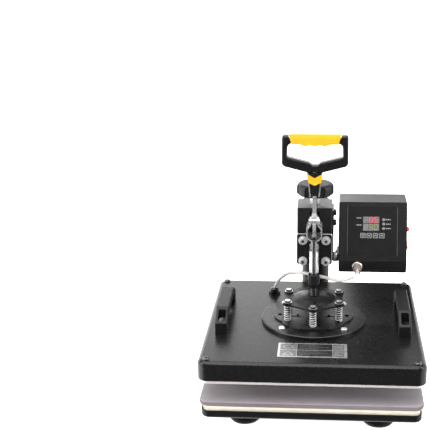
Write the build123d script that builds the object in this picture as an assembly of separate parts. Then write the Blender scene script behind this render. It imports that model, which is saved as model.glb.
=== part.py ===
from build123d import *
import os
from math import acos, atan2, cos, degrees, pi, radians, sin, tan

# Swing-away heat press, 15 x 15 inch. Millimetres, +Z up, +Y to the back, +X to the operator's right.
# Origin: centre of the bounding box's footprint, on the table. Heights named "top + h" are measured
# from the flat top of the upper platen's cover. Everything is modelled about the platen's centre and
# moved by PLATEN_Y when it is written, so that the origin ends up under the middle of the machine.

# ---- driving dimensions ----
TOP = 138.0               # cover's flat top above the table, platen raised
PLATEN_Y = -33.0          # platen centre from the origin
COVER_W = 396.0           # 15 inch platen cover
COVER_H = 35.0
COVER_CORNER = 18.0
SHEET = 1.6               # folded sheet steel
HEATER_W = 392.0
HEATER_LOW = 40.5         # heating plate's face below the cover's top
HEATER_T = 14.0
STROKE = 35.2             # lever travel of the platen
PAD_W = 394.0
PAD_TOP = TOP - 76.2
PAD_T = 9.0
TRAY_W = 387.0
TRAY_BOTTOM = TOP - 110.1
TRAY_RIM = 14.6
FELT_T = PAD_TOP - PAD_T - TRAY_BOTTOM - 2
TRAY_CORNER = 14.0
RAIL_X, RAIL_W, RAIL_LOW = 115.0, 70.0, TRAY_BOTTOM - 11.5
RAIL_WALL = 2.0
RAIL_FRONT, RAIL_BACK = -168.0, 264.0
DECK_HALF = 145.0
FOOT_X, FOOT_FRONT, FOOT_BACK, FOOT_R = 120.0, -136.0, 236.0, 27.5
COLUMN_Y, COLUMN_R, SHAFT_R = 228.0, 28.0, 18.0
SOCKET_TOP = TRAY_BOTTOM + 50.5
SLEEVE_TOP = TOP + 164.0
BUSH_R = 21.0
HEAD_HALF = 33.0
HEAD_FRONT, HEAD_BACK = 40.0, 100.0
HEAD_LOW, HEAD_HIGH = TOP + 97.0, TOP + 207.0
SPINDLE_Y, SPINDLE_R = 75.0, 7.0
KNOB_R, KNOB_LOW, KNOB_H = 35.0, TOP + 224.5, 22.0
BLOCK_HALF, BLOCK_LOW, BLOCK_HIGH = 26.2, TOP + 100.0, TOP + 160.0
PLATE_FRONT, PLATE_BACK = 32.0, 39.7
PLATE_HALF, PLATE_LOW, PLATE_HIGH = 33.5, TOP + 98.0, TOP + 159.0
CLAMP_BOLT_X, CLAMP_BOLT_Z, CLAMP_BOLT_MID = 21.65, 20.65, TOP + 125.5
ROD_R = 5.6
CRANK, LINK = 22.0, 40.0  # toggle arm lengths, pivot to pivot
PIVOT_Z = TOP + 194.0
PIN_Z = PIVOT_Z - CRANK - LINK + STROKE            # link's lower pin, platen raised
DISC_R, DISC_T = 98.0, 6.0
LOBE_T = 3.0
BOLT_RING = 55.0          # six shoulder bolts
SPIDER_LOW, SPIDER_T = TOP + 40.0, 3.0
SPRING_R, WIRE_R, SPRING_TURNS = 6.0, 0.9, 7
BOX_X0, BOX_X1 = 46.0, 174.5
BOX_BACK, BOX_LOW, BOX_HIGH = 138.0, TOP + 79.0, TOP + 207.0
BAND_Y, BAND_TOP = 45.0, TOP + 101.0               # upright band under the sloping front
FACE_Y = 82.5                                      # front edge of the box's top
CABLE_R = 3.15

# the sloping front's panel, measured along X and up the slope from its lower edge
PANEL_X, PANEL_UP, PANEL_W, PANEL_H, PANEL_T = 109.2, 57.5, 95.0, 94.0, 1.0
WINDOW_X, WINDOW_UP, WINDOW_W, WINDOW_H = 106.6, 71.4, 31.0, 27.4
BUTTON_XS, BUTTON_UP, BUTTON = (91.4, 103.3, 115.2, 127.1), 49.0, 9.6
LED_X, LED_UPS, LED_R = 130.4, (79.5, 71.1, 62.7), 1.8
SOCKET_X, SOCKET_Z = 81.4, TOP + 90.8              # heater connector under the panel
PLUG_END = 15.0
SWITCH_Y, SWITCH_Z, LAMP_Z = 100.0, TOP + 116.3, TOP + 148.2
ROCKER_TILT = 8.0

# the arm behind the head
BEAM_HALF, ARM_BOLT_X, ARM_BOLT_ZS = 16.0, 24.5, (TOP + 108, TOP + 150)

# the toggle clamp's stampings and the lever's handle
GUIDE_LOW, GUIDE_HIGH, GUIDE_R = TOP + 95, TOP + 137, 8.4
SLIT = 1.75               # half the gap between the two stampings
STAMP = 2.5               # their thickness
EAR_IN = 5.7              # inner face of the ears that hold the pivot pin
CLAMP_FRONT = -8.6
HANDLE_HALF, HANDLE_TOP, HANDLE_DEPTH = 59.3, TOP + 355.5, 9.0
HANDLE_LOW, GRIP_DEPTH = TOP + 287.5, 10.5
COVER_LOW = TOP + 244.4    # lower end of the lever's plastic cover
HEAD_BOLT_ZS = (TOP + 190, TOP + 170)
STRAP_LOW, STRAP_FLANGE, STRAP_SCREW_Z = TOP + 98.5, TOP + 113.0, TOP + 107.2
STRAP_SCREW_YS = (60.0, 85.0)

# the platen's fittings
COUPLING_LOW, COUPLING_HIGH = TOP + 64.5, TOP + 91
DOME_R, DOME_RISE = 41.0, 7.0
DISC_SCREW_X, DISC_SCREW_Y = 57.0, 60.0
CORNER_X, CORNER_Y = 182.5, 184.0
GLAND_X, GLAND_Y = -80.5, 123.0
ELEMENT_R = 4.0
HANDLE_X, HANDLE_W, HANDLE_FRONT, HANDLE_REAR, HANDLE_H = 167.5, 22.0, -77.5, 97.0, 38.5
TRAY_BOLT_YS = (-110.0, 120.0)

HEATER_TOP = TOP - HEATER_LOW + HEATER_T
TOGGLE_REST = CRANK + LINK - STROKE
LEVER_TRAVEL = degrees(acos((CRANK**2 + TOGGLE_REST**2 - LINK**2) / (2 * CRANK * TOGGLE_REST)))
CRANK_Y = -CRANK * sin(radians(LEVER_TRAVEL))
CRANK_Z = PIVOT_Z - CRANK * cos(radians(LEVER_TRAVEL))
LINK_TILT = degrees(atan2(-CRANK_Y, CRANK_Z - PIN_Z))
FACE_LEAN = degrees(atan2(FACE_Y - BAND_Y, BOX_HIGH - BAND_TOP))
MID_X = (BOX_X0 + BOX_X1) / 2


# ---- small helpers ----
def block(x0, x1, y0, y1, z0, z1):
    return Pos((x0 + x1) / 2, (y0 + y1) / 2, (z0 + z1) / 2) * Box(x1 - x0, y1 - y0, z1 - z0)


def post(x, y, z0, z1, r):
    return Pos(x, y, (z0 + z1) / 2) * Cylinder(r, z1 - z0)


def bar_x(y, z, x0, x1, r):
    return Pos((x0 + x1) / 2, y, z) * Rot(0, 90, 0) * Cylinder(r, x1 - x0)


def bar_y(x, z, y0, y1, r):
    return Pos(x, (y0 + y1) / 2, z) * Rot(90, 0, 0) * Cylinder(r, y1 - y0)


def cone(x, y, z0, z1, r0, r1):
    return Pos(x, y, (z0 + z1) / 2) * Cone(r0, r1, z1 - z0)


def slab(width, depth, corner, z0, z1):
    return Pos(0, 0, z0) * extrude(RectangleRounded(width, depth, corner), z1 - z0)


def side_shape(points, x0, x1):
    """Solid from an outline in the Y-Z plane, between x0 and x1."""
    return Pos(x0, 0, 0) * extrude(Plane.YZ * make_face(Polyline(*points, close=True)), x1 - x0)


def front_shape(face, y0, y1):
    """Solid from a face drawn in the X-Z plane, between y0 and y1."""
    return Pos(0, y1, 0) * extrude(Plane.XZ * face, y1 - y0)


def rounded(*corner_list):
    """Face from (x, y, corner radius) points."""
    face = make_face(Polyline(*[(x, y) for x, y, r in corner_list], close=True))
    for x, y, r in corner_list:
        if r:
            face = fillet(face.vertices().sort_by_distance((x, y, 0))[0], r)
    return face


def ring_points(radius, count, first=0.0):
    steps = [radians(first + 360 * i / count) for i in range(count)]
    return [(radius * cos(a), radius * sin(a)) for a in steps]


def group(solids):
    return Compound(children=list(solids))


def save(name, shape):
    placed = Pos(0, PLATEN_Y, 0) * shape
    export_step(placed, f"parts/{name}.step")


def corners(dx, dy):
    return [(sx * dx, sy * dy) for sx in (-1, 1) for sy in (-1, 1)]


def on_face(x, up, out=0.0):
    """Location on the control box's sloping front: up the slope, and out of it."""
    lean = radians(FACE_LEAN)
    y = BAND_Y + up * sin(lean) - out * cos(lean)
    z = BAND_TOP + up * cos(lean) + out * sin(lean)
    return Pos(x, y, z) * Rot(90 - FACE_LEAN, 0, 0)


def face_block(x, up, width, height, out0, out1):
    return on_face(x, up, (out0 + out1) / 2) * Box(width, height, out1 - out0)


def face_post(x, up, r, out0, out1):
    return on_face(x, up, (out0 + out1) / 2) * Cylinder(r, out1 - out0)


# ---- base ----
def base_frame():
    frame = None
    for side in (-1, 1):
        x = side * RAIL_X
        tube = block(x - RAIL_W / 2, x + RAIL_W / 2, RAIL_FRONT, RAIL_BACK, RAIL_LOW, TRAY_BOTTOM)
        tube = fillet(tube.edges().filter_by(Axis.Y), 2)
        tube -= block(x - RAIL_W / 2 + RAIL_WALL, x + RAIL_W / 2 - RAIL_WALL, RAIL_FRONT + 2, RAIL_BACK - 2,
                      RAIL_LOW + RAIL_WALL, TRAY_BOTTOM - RAIL_WALL)
        for y in (FOOT_FRONT, FOOT_BACK):
            tube -= post(side * FOOT_X, y, RAIL_LOW, RAIL_LOW + RAIL_WALL, 4.05)
        for y in TRAY_BOLT_YS:
            tube -= post(x, y, TRAY_BOTTOM - RAIL_WALL, TRAY_BOTTOM, 3.05)
        frame = tube if frame is None else frame + tube
    inner = RAIL_X - RAIL_W / 2
    for y in (-90, 90):
        frame += block(-inner - 1, inner + 1, y - 20, y + 20, RAIL_LOW + 2.4, TRAY_BOTTOM - 2.4)
        frame -= block(-inner, inner, y - 17, y + 17, RAIL_LOW + 2.4, TRAY_BOTTOM - 5)
    deck = block(-DECK_HALF, DECK_HALF, 198, RAIL_BACK - 2, TRAY_BOTTOM - 1, TRAY_BOTTOM + 10)
    frame += fillet(deck.edges().filter_by(Axis.Z), 12)
    frame += post(0, COLUMN_Y, TRAY_BOTTOM + 10, SOCKET_TOP, 30)
    low = TRAY_BOTTOM + 10
    for side in (-1, 1):
        rib = make_face(Polyline((side * 28, low), (side * 90, low), (side * 90, low + 6),
                                 (side * 28, SOCKET_TOP - 6), close=True))
        frame += front_shape(rib, COLUMN_Y - 4, COLUMN_Y + 4)
    return frame - post(0, COLUMN_Y, TRAY_BOTTOM, SOCKET_TOP, SHAFT_R)


def column_shaft():
    shaft = post(0, COLUMN_Y, TRAY_BOTTOM, SLEEVE_TOP - 4, SHAFT_R)
    return chamfer(shaft.edges().group_by(Axis.Z)[-1], 2)


def feet():
    outline = Polyline((4.3, 6), (14, 5), (23, 0), (FOOT_R - 1.5, 0), (FOOT_R, 2), (FOOT_R, 5),
                       (23, 10), (17, 13.5), (16, RAIL_LOW), (4.3, RAIL_LOW), close=True)
    foot = revolve(Plane.XZ * make_face(outline), Axis.Z)
    places = [(x, y) for x in (-FOOT_X, FOOT_X) for y in (FOOT_FRONT, FOOT_BACK)]
    return group(Pos(x, y, 0) * foot for x, y in places)


def base_fasteners():
    pieces = []
    for x in (-FOOT_X, FOOT_X):
        for y in (FOOT_FRONT, FOOT_BACK):
            stud = post(x, y, 8, RAIL_LOW + RAIL_WALL + 6.5, 4.0)
            nut = Pos(x, y, RAIL_LOW + RAIL_WALL) * extrude(RegularPolygon(7.5, 6), 5.5)
            pieces.append(stud + nut)
    for side in (-1, 1):
        for y in TRAY_BOLT_YS:
            x = side * RAIL_X
            under = TRAY_BOTTOM - RAIL_WALL
            head = Pos(x, y, under - 4.5) * extrude(RegularPolygon(5.8, 6), 4.5)
            pieces.append(head + post(x, y, under, TRAY_BOTTOM + 2, 3.0))
    return group(pieces)


def lower_tray():
    tray = slab(TRAY_W, TRAY_W, TRAY_CORNER, TRAY_BOTTOM, TRAY_BOTTOM + TRAY_RIM)
    tray = fillet(tray.edges().group_by(Axis.Z)[0], 5)
    inside = slab(TRAY_W - 4, TRAY_W - 4, TRAY_CORNER - 2, TRAY_BOTTOM + 2, TRAY_BOTTOM + TRAY_RIM)
    inside = fillet(inside.edges().group_by(Axis.Z)[0], 3)
    tray -= inside
    for side in (-1, 1):
        for y in TRAY_BOLT_YS:
            tray -= post(side * RAIL_X, y, TRAY_BOTTOM, TRAY_BOTTOM + 2, 3.05)
    return tray


def felt_layer():
    low = TRAY_BOTTOM + 2
    felt = slab(TRAY_W - 4.6, TRAY_W - 4.6, TRAY_CORNER - 2, low, low + FELT_T)
    return fillet(felt.edges().group_by(Axis.Z)[0], 3.3)


def silicone_pad():
    return slab(PAD_W, PAD_W, COVER_CORNER, PAD_TOP - PAD_T, PAD_TOP)


# ---- swing arm and head ----
def arm_bolt_places():
    return [(x, z) for x in (-ARM_BOLT_X, ARM_BOLT_X) for z in ARM_BOLT_ZS]


def swing_arm():
    sleeve = post(0, COLUMN_Y, SOCKET_TOP + 3.1, SLEEVE_TOP, COLUMN_R)
    sleeve = fillet(sleeve.edges().group_by(Axis.Z)[-1], 2)
    low, high = TOP + 89, TOP + 159
    beam = block(-BEAM_HALF, BEAM_HALF, HEAD_BACK + 8, COLUMN_Y - 8, low, high)
    beam = fillet(beam.edges().filter_by(Axis.Y), 4)
    flange = block(-HEAD_HALF, HEAD_HALF, HEAD_BACK, HEAD_BACK + 8, low + 10, high + 2)
    arm = sleeve + beam + flange
    web = side_shape([(HEAD_BACK + 40, low), (COLUMN_Y - 20, low), (COLUMN_Y - 20, low - 60)], -5, 5)
    arm += web
    for x, z in arm_bolt_places():
        arm -= bar_y(x, z, HEAD_BACK, HEAD_BACK + 8, 4.05)
    return arm - post(0, COLUMN_Y, SOCKET_TOP, SLEEVE_TOP, BUSH_R)


def sleeve_bushes():
    low = SOCKET_TOP + 0.1
    lower = post(0, COLUMN_Y, low, low + 3, COLUMN_R) + post(0, COLUMN_Y, low, low + 33, BUSH_R)
    upper = post(0, COLUMN_Y, SLEEVE_TOP - 32, SLEEVE_TOP - 2, BUSH_R)
    bore = post(0, COLUMN_Y, low, SLEEVE_TOP, SHAFT_R + 0.05)
    return group([lower - bore, upper - bore])


def column_cap():
    cap = post(0, COLUMN_Y, SLEEVE_TOP, SLEEVE_TOP + 5, COLUMN_R - 0.5)
    cap = fillet(cap.edges().group_by(Axis.Z)[-1], 3)
    return cap + post(0, COLUMN_Y, SLEEVE_TOP - 1.8, SLEEVE_TOP, BUSH_R)


def head_housing():
    wall, back = 6.5, 8.0
    shell = block(-HEAD_HALF, HEAD_HALF, HEAD_FRONT, HEAD_BACK, HEAD_LOW, HEAD_HIGH)
    shell = fillet(shell.edges().filter_by(Axis.Z), 2.5)
    inner = HEAD_HALF - wall
    lintel = PLATE_HIGH + 0.5
    shell -= block(-inner, inner, HEAD_FRONT, HEAD_BACK - back, HEAD_LOW, lintel)
    shell -= block(-inner, inner, HEAD_FRONT + 5, HEAD_BACK - back, lintel, HEAD_HIGH - 8)
    shell -= block(-9, 9, HEAD_FRONT, HEAD_FRONT + 5, TOP + 172, HEAD_HIGH - 8)
    shell -= post(0, SPINDLE_Y, HEAD_HIGH - 8, HEAD_HIGH, SPINDLE_R + 0.05)
    for x, z in arm_bolt_places():
        shell -= bar_y(x, z, HEAD_BACK - back, HEAD_BACK, 4.05)
    for z in HEAD_BOLT_ZS:
        shell -= bar_x(70, z, inner, HEAD_HALF, 4.05)
    return shell


def dome_bolt_x(y, z, x, reach):
    head = bar_x(y, z, x, x + 5, 6.2)
    head = fillet(head.edges().sort_by(Axis.X)[-1], 3.2)
    head -= Pos(x + 3, y, z) * Rot(0, 90, 0) * extrude(RegularPolygon(2.8, 6), 3)
    return head + bar_x(y, z, x - reach, x, 4.0)


def head_bolts():
    pieces = [dome_bolt_x(70, z, HEAD_HALF + 3, 9.4) for z in HEAD_BOLT_ZS]
    for x, z in arm_bolt_places():
        head = bar_y(x, z, HEAD_BACK + 8, HEAD_BACK + 15, 6.5)
        head -= bar_y(x, z, HEAD_BACK + 11, HEAD_BACK + 15, 3.2)
        pieces.append(head + bar_y(x, z, HEAD_BACK - 8, HEAD_BACK + 8, 4.0))
    return group(pieces)


def strap_bracket():
    outer = block(HEAD_HALF, BOX_X0, 50, 95, STRAP_LOW, TOP + 199)
    outer = fillet(outer.edges().filter_by(Axis.Y).group_by(Axis.Z)[0], 4)
    gap = block(HEAD_HALF + 3, BOX_X0 - 3, 50, 95, STRAP_LOW + 3, TOP + 199)
    gap = fillet(gap.edges().filter_by(Axis.Y).group_by(Axis.Z)[0], 1)
    strap = outer - gap - block(BOX_X0 - 3, BOX_X0, 50, 95, STRAP_FLANGE, TOP + 199)
    for z in HEAD_BOLT_ZS:
        strap -= bar_x(70, z, HEAD_HALF, HEAD_HALF + 3, 4.05)
    for y in STRAP_SCREW_YS:
        strap -= bar_x(y, STRAP_SCREW_Z, BOX_X0 - 3, BOX_X0, 2.55)
    return strap


# ---- control box ----
def box_outline(inset):
    lean = radians(FACE_LEAN)
    step = inset * tan(lean / 2)
    rise = inset * tan((pi / 2 - lean) / 2)
    return [(BAND_Y + inset, BOX_LOW + inset), (BOX_BACK, BOX_LOW + inset), (BOX_BACK, BOX_HIGH - inset),
            (FACE_Y + rise, BOX_HIGH - inset), (BAND_Y + inset, BAND_TOP + step)]


def control_box():
    shell = side_shape(box_outline(0), BOX_X0, BOX_X1)
    uprights = shell.edges().filter_by(Axis.Y).group_by(Axis.Z)
    shell = fillet(uprights[0] + uprights[-1], 3)
    shell -= side_shape(box_outline(SHEET), BOX_X0 + SHEET, BOX_X1 - SHEET)
    shell -= face_block(WINDOW_X, WINDOW_UP, WINDOW_W + 0.4, WINDOW_H + 0.4, -3, 1)
    for x in BUTTON_XS:
        shell -= face_block(x, BUTTON_UP, BUTTON + 0.8, BUTTON + 0.8, -3, 1)
    for up in LED_UPS:
        shell -= face_post(LED_X, up, 2.1, -3, 1)
    shell -= bar_y(SOCKET_X, SOCKET_Z, BAND_Y, BAND_Y + SHEET, 6.05)
    shell -= block(BOX_X1 - SHEET, BOX_X1, SWITCH_Y - 7, SWITCH_Y + 7, SWITCH_Z - 11, SWITCH_Z + 11)
    shell -= bar_x(SWITCH_Y, LAMP_Z, BOX_X1 - SHEET, BOX_X1, 4.05)
    for y in STRAP_SCREW_YS:
        shell -= bar_x(y, STRAP_SCREW_Z, BOX_X0, BOX_X0 + SHEET, 2.55)
    return shell


def control_panel():
    panel = face_block(PANEL_X, PANEL_UP, PANEL_W, PANEL_H, 0, PANEL_T)
    panel -= face_block(WINDOW_X, WINDOW_UP, WINDOW_W, WINDOW_H, 0, PANEL_T)
    for x in BUTTON_XS:
        panel -= face_block(x, BUTTON_UP, BUTTON + 0.8, BUTTON + 0.8, 0, PANEL_T)
    for up in LED_UPS:
        panel -= face_post(LED_X, up, LED_R, 0, PANEL_T)
    return panel


def display_window():
    lens = face_block(WINDOW_X, WINDOW_UP, WINDOW_W - 0.4, WINDOW_H - 0.4, -4, PANEL_T - 0.2)
    return lens


def push_button(x):
    cap = Box(BUTTON, BUTTON, PANEL_T + 4.2)
    cap = fillet(cap.edges().filter_by(Axis.Z), 1.4)
    middle = (PANEL_T + 1.0 - 3.2) / 2
    return on_face(x, BUTTON_UP, middle) * cap + face_post(x, BUTTON_UP, 1.6, -5.2, -3.2)


def indicator_leds():
    return group(face_post(LED_X, up, LED_R, -4, PANEL_T + 0.6) for up in LED_UPS)


def box_back():
    inner = SHEET + 0.1
    plate = block(BOX_X0 + inner, BOX_X1 - inner, BOX_BACK - SHEET, BOX_BACK,
                  BOX_LOW + inner, BOX_HIGH - inner)
    plate -= block(MID_X - 14, MID_X + 14, BOX_BACK - SHEET, BOX_BACK, BOX_LOW + 14, BOX_LOW + 34)
    for x, z in corners(54, 54):
        plate -= bar_y(MID_X + x, (BOX_LOW + BOX_HIGH) / 2 + z, BOX_BACK - SHEET, BOX_BACK, 2.05)
    for row in range(5):
        z = BOX_HIGH - 30 - 6 * row
        plate -= block(MID_X - 20, MID_X + 20, BOX_BACK - SHEET, BOX_BACK, z, z + 2)
    return plate


def control_electronics():
    board = face_block(PANEL_X, PANEL_UP + 8, 84, 62, -9.6, -8)
    relay = block(MID_X - 30, MID_X + 15, BOX_BACK - 30, BOX_BACK - 8, TOP + 128, TOP + 186)
    base = block(MID_X - 34, MID_X + 19, BOX_BACK - 8, BOX_BACK - 6, TOP + 122, TOP + 192)
    core = block(BOX_X0 + 14, BOX_X0 + 44, 84, 112, BOX_LOW + SHEET, BOX_LOW + 26)
    return group([board, relay, base, core])


def side_bezels():
    """Rocker switch housing and the pilot lamp's collar, on the box's right wall."""
    y0, y1 = SWITCH_Y - 6.8, SWITCH_Y + 6.8
    body = block(BOX_X1 - 16, BOX_X1, y0, y1, SWITCH_Z - 10.8, SWITCH_Z + 10.8)
    rim = block(BOX_X1, BOX_X1 + 2, y0 - 1.6, y1 + 1.6, SWITCH_Z - 13, SWITCH_Z + 13)
    body += fillet(rim.edges().filter_by(Axis.X), 1.5)
    body -= block(BOX_X1 - 13, BOX_X1 + 2, SWITCH_Y - 5.3, SWITCH_Y + 5.3, SWITCH_Z - 9.9, SWITCH_Z + 9.9)
    body -= bar_y(BOX_X1, SWITCH_Z, y0 + 0.3, y1 - 0.3, 1.25)
    collar = bar_x(SWITCH_Y, LAMP_Z, BOX_X1, BOX_X1 + 3, 6.5)
    collar = chamfer(collar.edges().sort_by(Axis.X)[-1], 1)
    collar += bar_x(SWITCH_Y, LAMP_Z, BOX_X1 - 6, BOX_X1, 4.0)
    collar -= bar_x(SWITCH_Y, LAMP_Z, BOX_X1 - 2, BOX_X1 + 3, 3.4)
    return group([body, collar])


def rocker():
    """Rocker cap in its lower-side-out position, with its two pivot pins."""
    outline = [(-4, -6.5), (5.3, -7.8), (3.9, 0), (5.3, 7.8), (-4, 6.5)]
    cap = extrude(Plane.XZ * make_face(Polyline(*outline, close=True)), 5, both=True)
    cap = fillet(cap.edges().filter_by(Axis.Y).group_by(Axis.X)[-1], 0.8)
    cap += bar_y(0, 0, -6.4, 6.4, 1.2)
    return Pos(BOX_X1, SWITCH_Y, SWITCH_Z) * Rot(0, -ROCKER_TILT, 0) * cap


def pilot_lamp():
    lens = bar_x(SWITCH_Y, LAMP_Z, BOX_X1 - 2, BOX_X1 + 3.2, 3.4)
    dome = bar_x(SWITCH_Y, LAMP_Z, BOX_X1 + 3, BOX_X1 + 7.5, 4.4)
    return lens + fillet(dome.edges().sort_by(Axis.X)[-1], 3.6)


def power_inlet():
    z0, z1 = BOX_LOW + 14, BOX_LOW + 34
    body = block(MID_X - 13.8, MID_X + 13.8, BOX_BACK - 20, BOX_BACK, z0 + 0.2, z1 - 0.2)
    rim = block(MID_X - 24, MID_X + 24, BOX_BACK, BOX_BACK + 3, z0 - 4, z1 + 4)
    body += fillet(rim.edges().filter_by(Axis.Y), 3)
    body -= block(MID_X - 12, MID_X + 12, BOX_BACK - 15, BOX_BACK + 3, z0 + 2, z1 - 2)
    for dx, dz in ((-7, -2), (7, -2), (0, 3)):
        x, z = MID_X + dx, (z0 + z1) / 2 + dz
        body += block(x - 1, x + 1, BOX_BACK - 15.5, BOX_BACK - 3, z - 2, z + 2)
    return body


def connector_socket():
    ring = bar_y(SOCKET_X, SOCKET_Z, BAND_Y - 4.5, BAND_Y, 9.4)
    ring = chamfer(ring.edges().sort_by(Axis.Y)[0], 1)
    ring += bar_y(SOCKET_X, SOCKET_Z, BAND_Y, BAND_Y + 12, 6.0)
    ring += Pos(SOCKET_X, BAND_Y + SHEET + 3, SOCKET_Z) * Rot(90, 0, 0) * extrude(RegularPolygon(9, 6), 3)
    return ring - bar_y(SOCKET_X, SOCKET_Z, BAND_Y - 4.5, BAND_Y + 8, 5.0)


def cable_plug():
    plug = bar_y(SOCKET_X, SOCKET_Z, PLUG_END + 7, BAND_Y - 4.5, 7.0)
    for i in range(4):
        y = PLUG_END + 10 + 4 * i
        ring = bar_y(SOCKET_X, SOCKET_Z, y, y + 1.6, 7.6)
        plug += ring
    plug += bar_y(SOCKET_X, SOCKET_Z, BAND_Y - 4.5, BAND_Y + 7, 4.95)
    plug += bar_y(SOCKET_X, SOCKET_Z, PLUG_END + 3, PLUG_END + 7, 5.2)
    for side in (-1, 1):
        jaw = block(SOCKET_X + side * 4.6 - 1.2, SOCKET_X + side * 4.6 + 1.2, PLUG_END - 4, PLUG_END + 4,
                    SOCKET_Z - 3.4, SOCKET_Z + 3.4)
        plug += jaw
    return plug - bar_y(SOCKET_X, SOCKET_Z, PLUG_END - 4, PLUG_END + 3, CABLE_R + 0.25)


def box_screws():
    pieces = []
    for x, z in corners(54, 54):
        cx, cz = MID_X + x, (BOX_LOW + BOX_HIGH) / 2 + z
        head = fillet(bar_y(cx, cz, BOX_BACK, BOX_BACK + 2.4, 3.6).edges().sort_by(Axis.Y)[-1], 1.4)
        pieces.append(head + bar_y(cx, cz, BOX_BACK - 8, BOX_BACK, 2.0))
    for y in STRAP_SCREW_YS:
        head = Pos(BOX_X0 - 3, y, STRAP_SCREW_Z) * Rot(0, -90, 0) * extrude(RegularPolygon(4.6, 6), 3.2)
        pieces.append(head + bar_x(y, STRAP_SCREW_Z, BOX_X0 - 3, BOX_X0 + 6, 2.5))
    return group(pieces)


# ---- pressure adjustment ----
def knob():
    body = post(0, SPINDLE_Y, KNOB_LOW, KNOB_LOW + KNOB_H, KNOB_R)
    rims = body.edges().group_by(Axis.Z)
    body = fillet(rims[-1], 8)
    body = chamfer(body.edges().group_by(Axis.Z)[0], 3)
    for x, y in ring_points(KNOB_R + 5.5, 8, 22.5):
        body -= post(x, SPINDLE_Y + y, KNOB_LOW, KNOB_LOW + KNOB_H, 9.5)
    return body - post(0, SPINDLE_Y, KNOB_LOW, KNOB_LOW + 14, SPINDLE_R)


def pressure_spindle():
    spindle = post(0, SPINDLE_Y, BLOCK_LOW - 1, KNOB_LOW + 14, SPINDLE_R)
    spindle += post(0, SPINDLE_Y, HEAD_HIGH + 0.2, KNOB_LOW - 0.1, 10)
    return spindle + post(0, SPINDLE_Y, HEAD_HIGH - 13, HEAD_HIGH - 8.2, 11)


def clamp_bolt_places():
    return [(x, CLAMP_BOLT_MID + z) for x, z in corners(CLAMP_BOLT_X, CLAMP_BOLT_Z)]


def slide_block():
    body = block(-BLOCK_HALF, BLOCK_HALF, PLATE_BACK, HEAD_BACK - 8.3, BLOCK_LOW, BLOCK_HIGH)
    body -= post(0, SPINDLE_Y, BLOCK_LOW, BLOCK_HIGH, SPINDLE_R + 0.05)
    body -= block(-BLOCK_HALF, BLOCK_HALF, PLATE_BACK, HEAD_FRONT + 5.5, TOP + 151, BLOCK_HIGH)
    for x, z in clamp_bolt_places():
        body -= bar_y(x, z, PLATE_BACK, PLATE_BACK + 20, 4.05)
    return body


def clamp_plate():
    plate = block(-PLATE_HALF, PLATE_HALF, PLATE_FRONT, PLATE_BACK, PLATE_LOW, PLATE_HIGH)
    plate = chamfer(plate.edges().filter_by(Axis.Y), 2.5)
    plate = chamfer(plate.edges().group_by(Axis.Y)[0], 0.8)
    for x, z in clamp_bolt_places():
        plate -= bar_y(x, z, PLATE_FRONT, PLATE_BACK, 4.3)
    return plate


def clamp_bolts():
    pieces = []
    for x, z in clamp_bolt_places():
        washer = bar_y(x, z, PLATE_FRONT - 1.6, PLATE_FRONT, 8.75) - bar_y(x, z, 20, 40, 4.3)
        head = bar_y(x, z, PLATE_FRONT - 8.6, PLATE_FRONT - 1.6, 6.5)
        head = fillet(head.edges().sort_by(Axis.Y)[0], 0.8)
        head -= Pos(x, PLATE_FRONT - 4.6, z) * Rot(90, 0, 0) * extrude(RegularPolygon(3.4, 6), 5)
        pieces += [washer, head + bar_y(x, z, PLATE_FRONT - 1.6, PLATE_BACK + 19, 4.0)]
    return group(pieces)


# ---- toggle clamp ----
def clamp_half(side):
    """One of two mirrored stampings: guide tube, necked front, round cage and pivot ear."""
    guide = post(0, 0, GUIDE_LOW, GUIDE_HIGH, GUIDE_R)
    web = block(0, GUIDE_R, 0, PLATE_FRONT, GUIDE_LOW, GUIDE_HIGH) - block(0, 5.9, 0, 40, GUIDE_LOW, GUIDE_HIGH)
    line = FilletPolyline((2.9, TOP + 136), (2.9, TOP + 156), (13.4, TOP + 164.5), (13.4, TOP + 180),
                          (6.95, TOP + 188.5), (6.95, TOP + 203), radius=[2.5, 3.2, 5, 3.5])
    cage = front_shape(trace(line, STAMP), CLAMP_FRONT, PLATE_FRONT)
    trim = block(0, 20, 12, PLATE_FRONT, TOP + 186, TOP + 204)
    cage -= trim
    cage -= block(0, 20, 7.5, 12, TOP + 194, TOP + 204)
    ear_top = Pos(0, 0, PIVOT_Z) * Rot(0, 90, 0) * Cylinder(9, 40)
    cage -= block(0, 20, -20, 12, PIVOT_Z, TOP + 206) - ear_top
    lug = make_face(Polyline((3.6, TOP + 138), (4.8, TOP + 138), (8.3, TOP + 148), (8.3, TOP + 151.5),
                             (6.8, TOP + 153), (3.6, TOP + 153), close=True))
    half = guide + web + cage + front_shape(lug, CLAMP_FRONT - 0.4, -6.4)
    half -= post(0, 0, TOP + 90, TOP + 176, ROD_R + 0.1)
    half -= block(-3.5, 3.5, -7.3, 7, GUIDE_HIGH, TOP + 204)
    half &= block(SLIT, 20, -12, PLATE_FRONT, TOP + 90, TOP + 206)
    half -= bar_x(0, PIVOT_Z, 0, 20, 3.55)
    for z in (TOP + 100, TOP + 120):
        half -= block(3, 12, 14, 24, z, z + 12)
    return half if side > 0 else mirror(half, Plane.YZ)


def clamp_pivot_pin():
    pin = bar_x(0, PIVOT_Z, -9.8, 9.8, 3.5)
    reach = EAR_IN + STAMP
    for side in (-1, 1):
        x = sorted((side * reach, side * (reach + 1.7)))
        pin += bar_x(0, PIVOT_Z, x[0], x[1], 5.2)
    return pin


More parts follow.
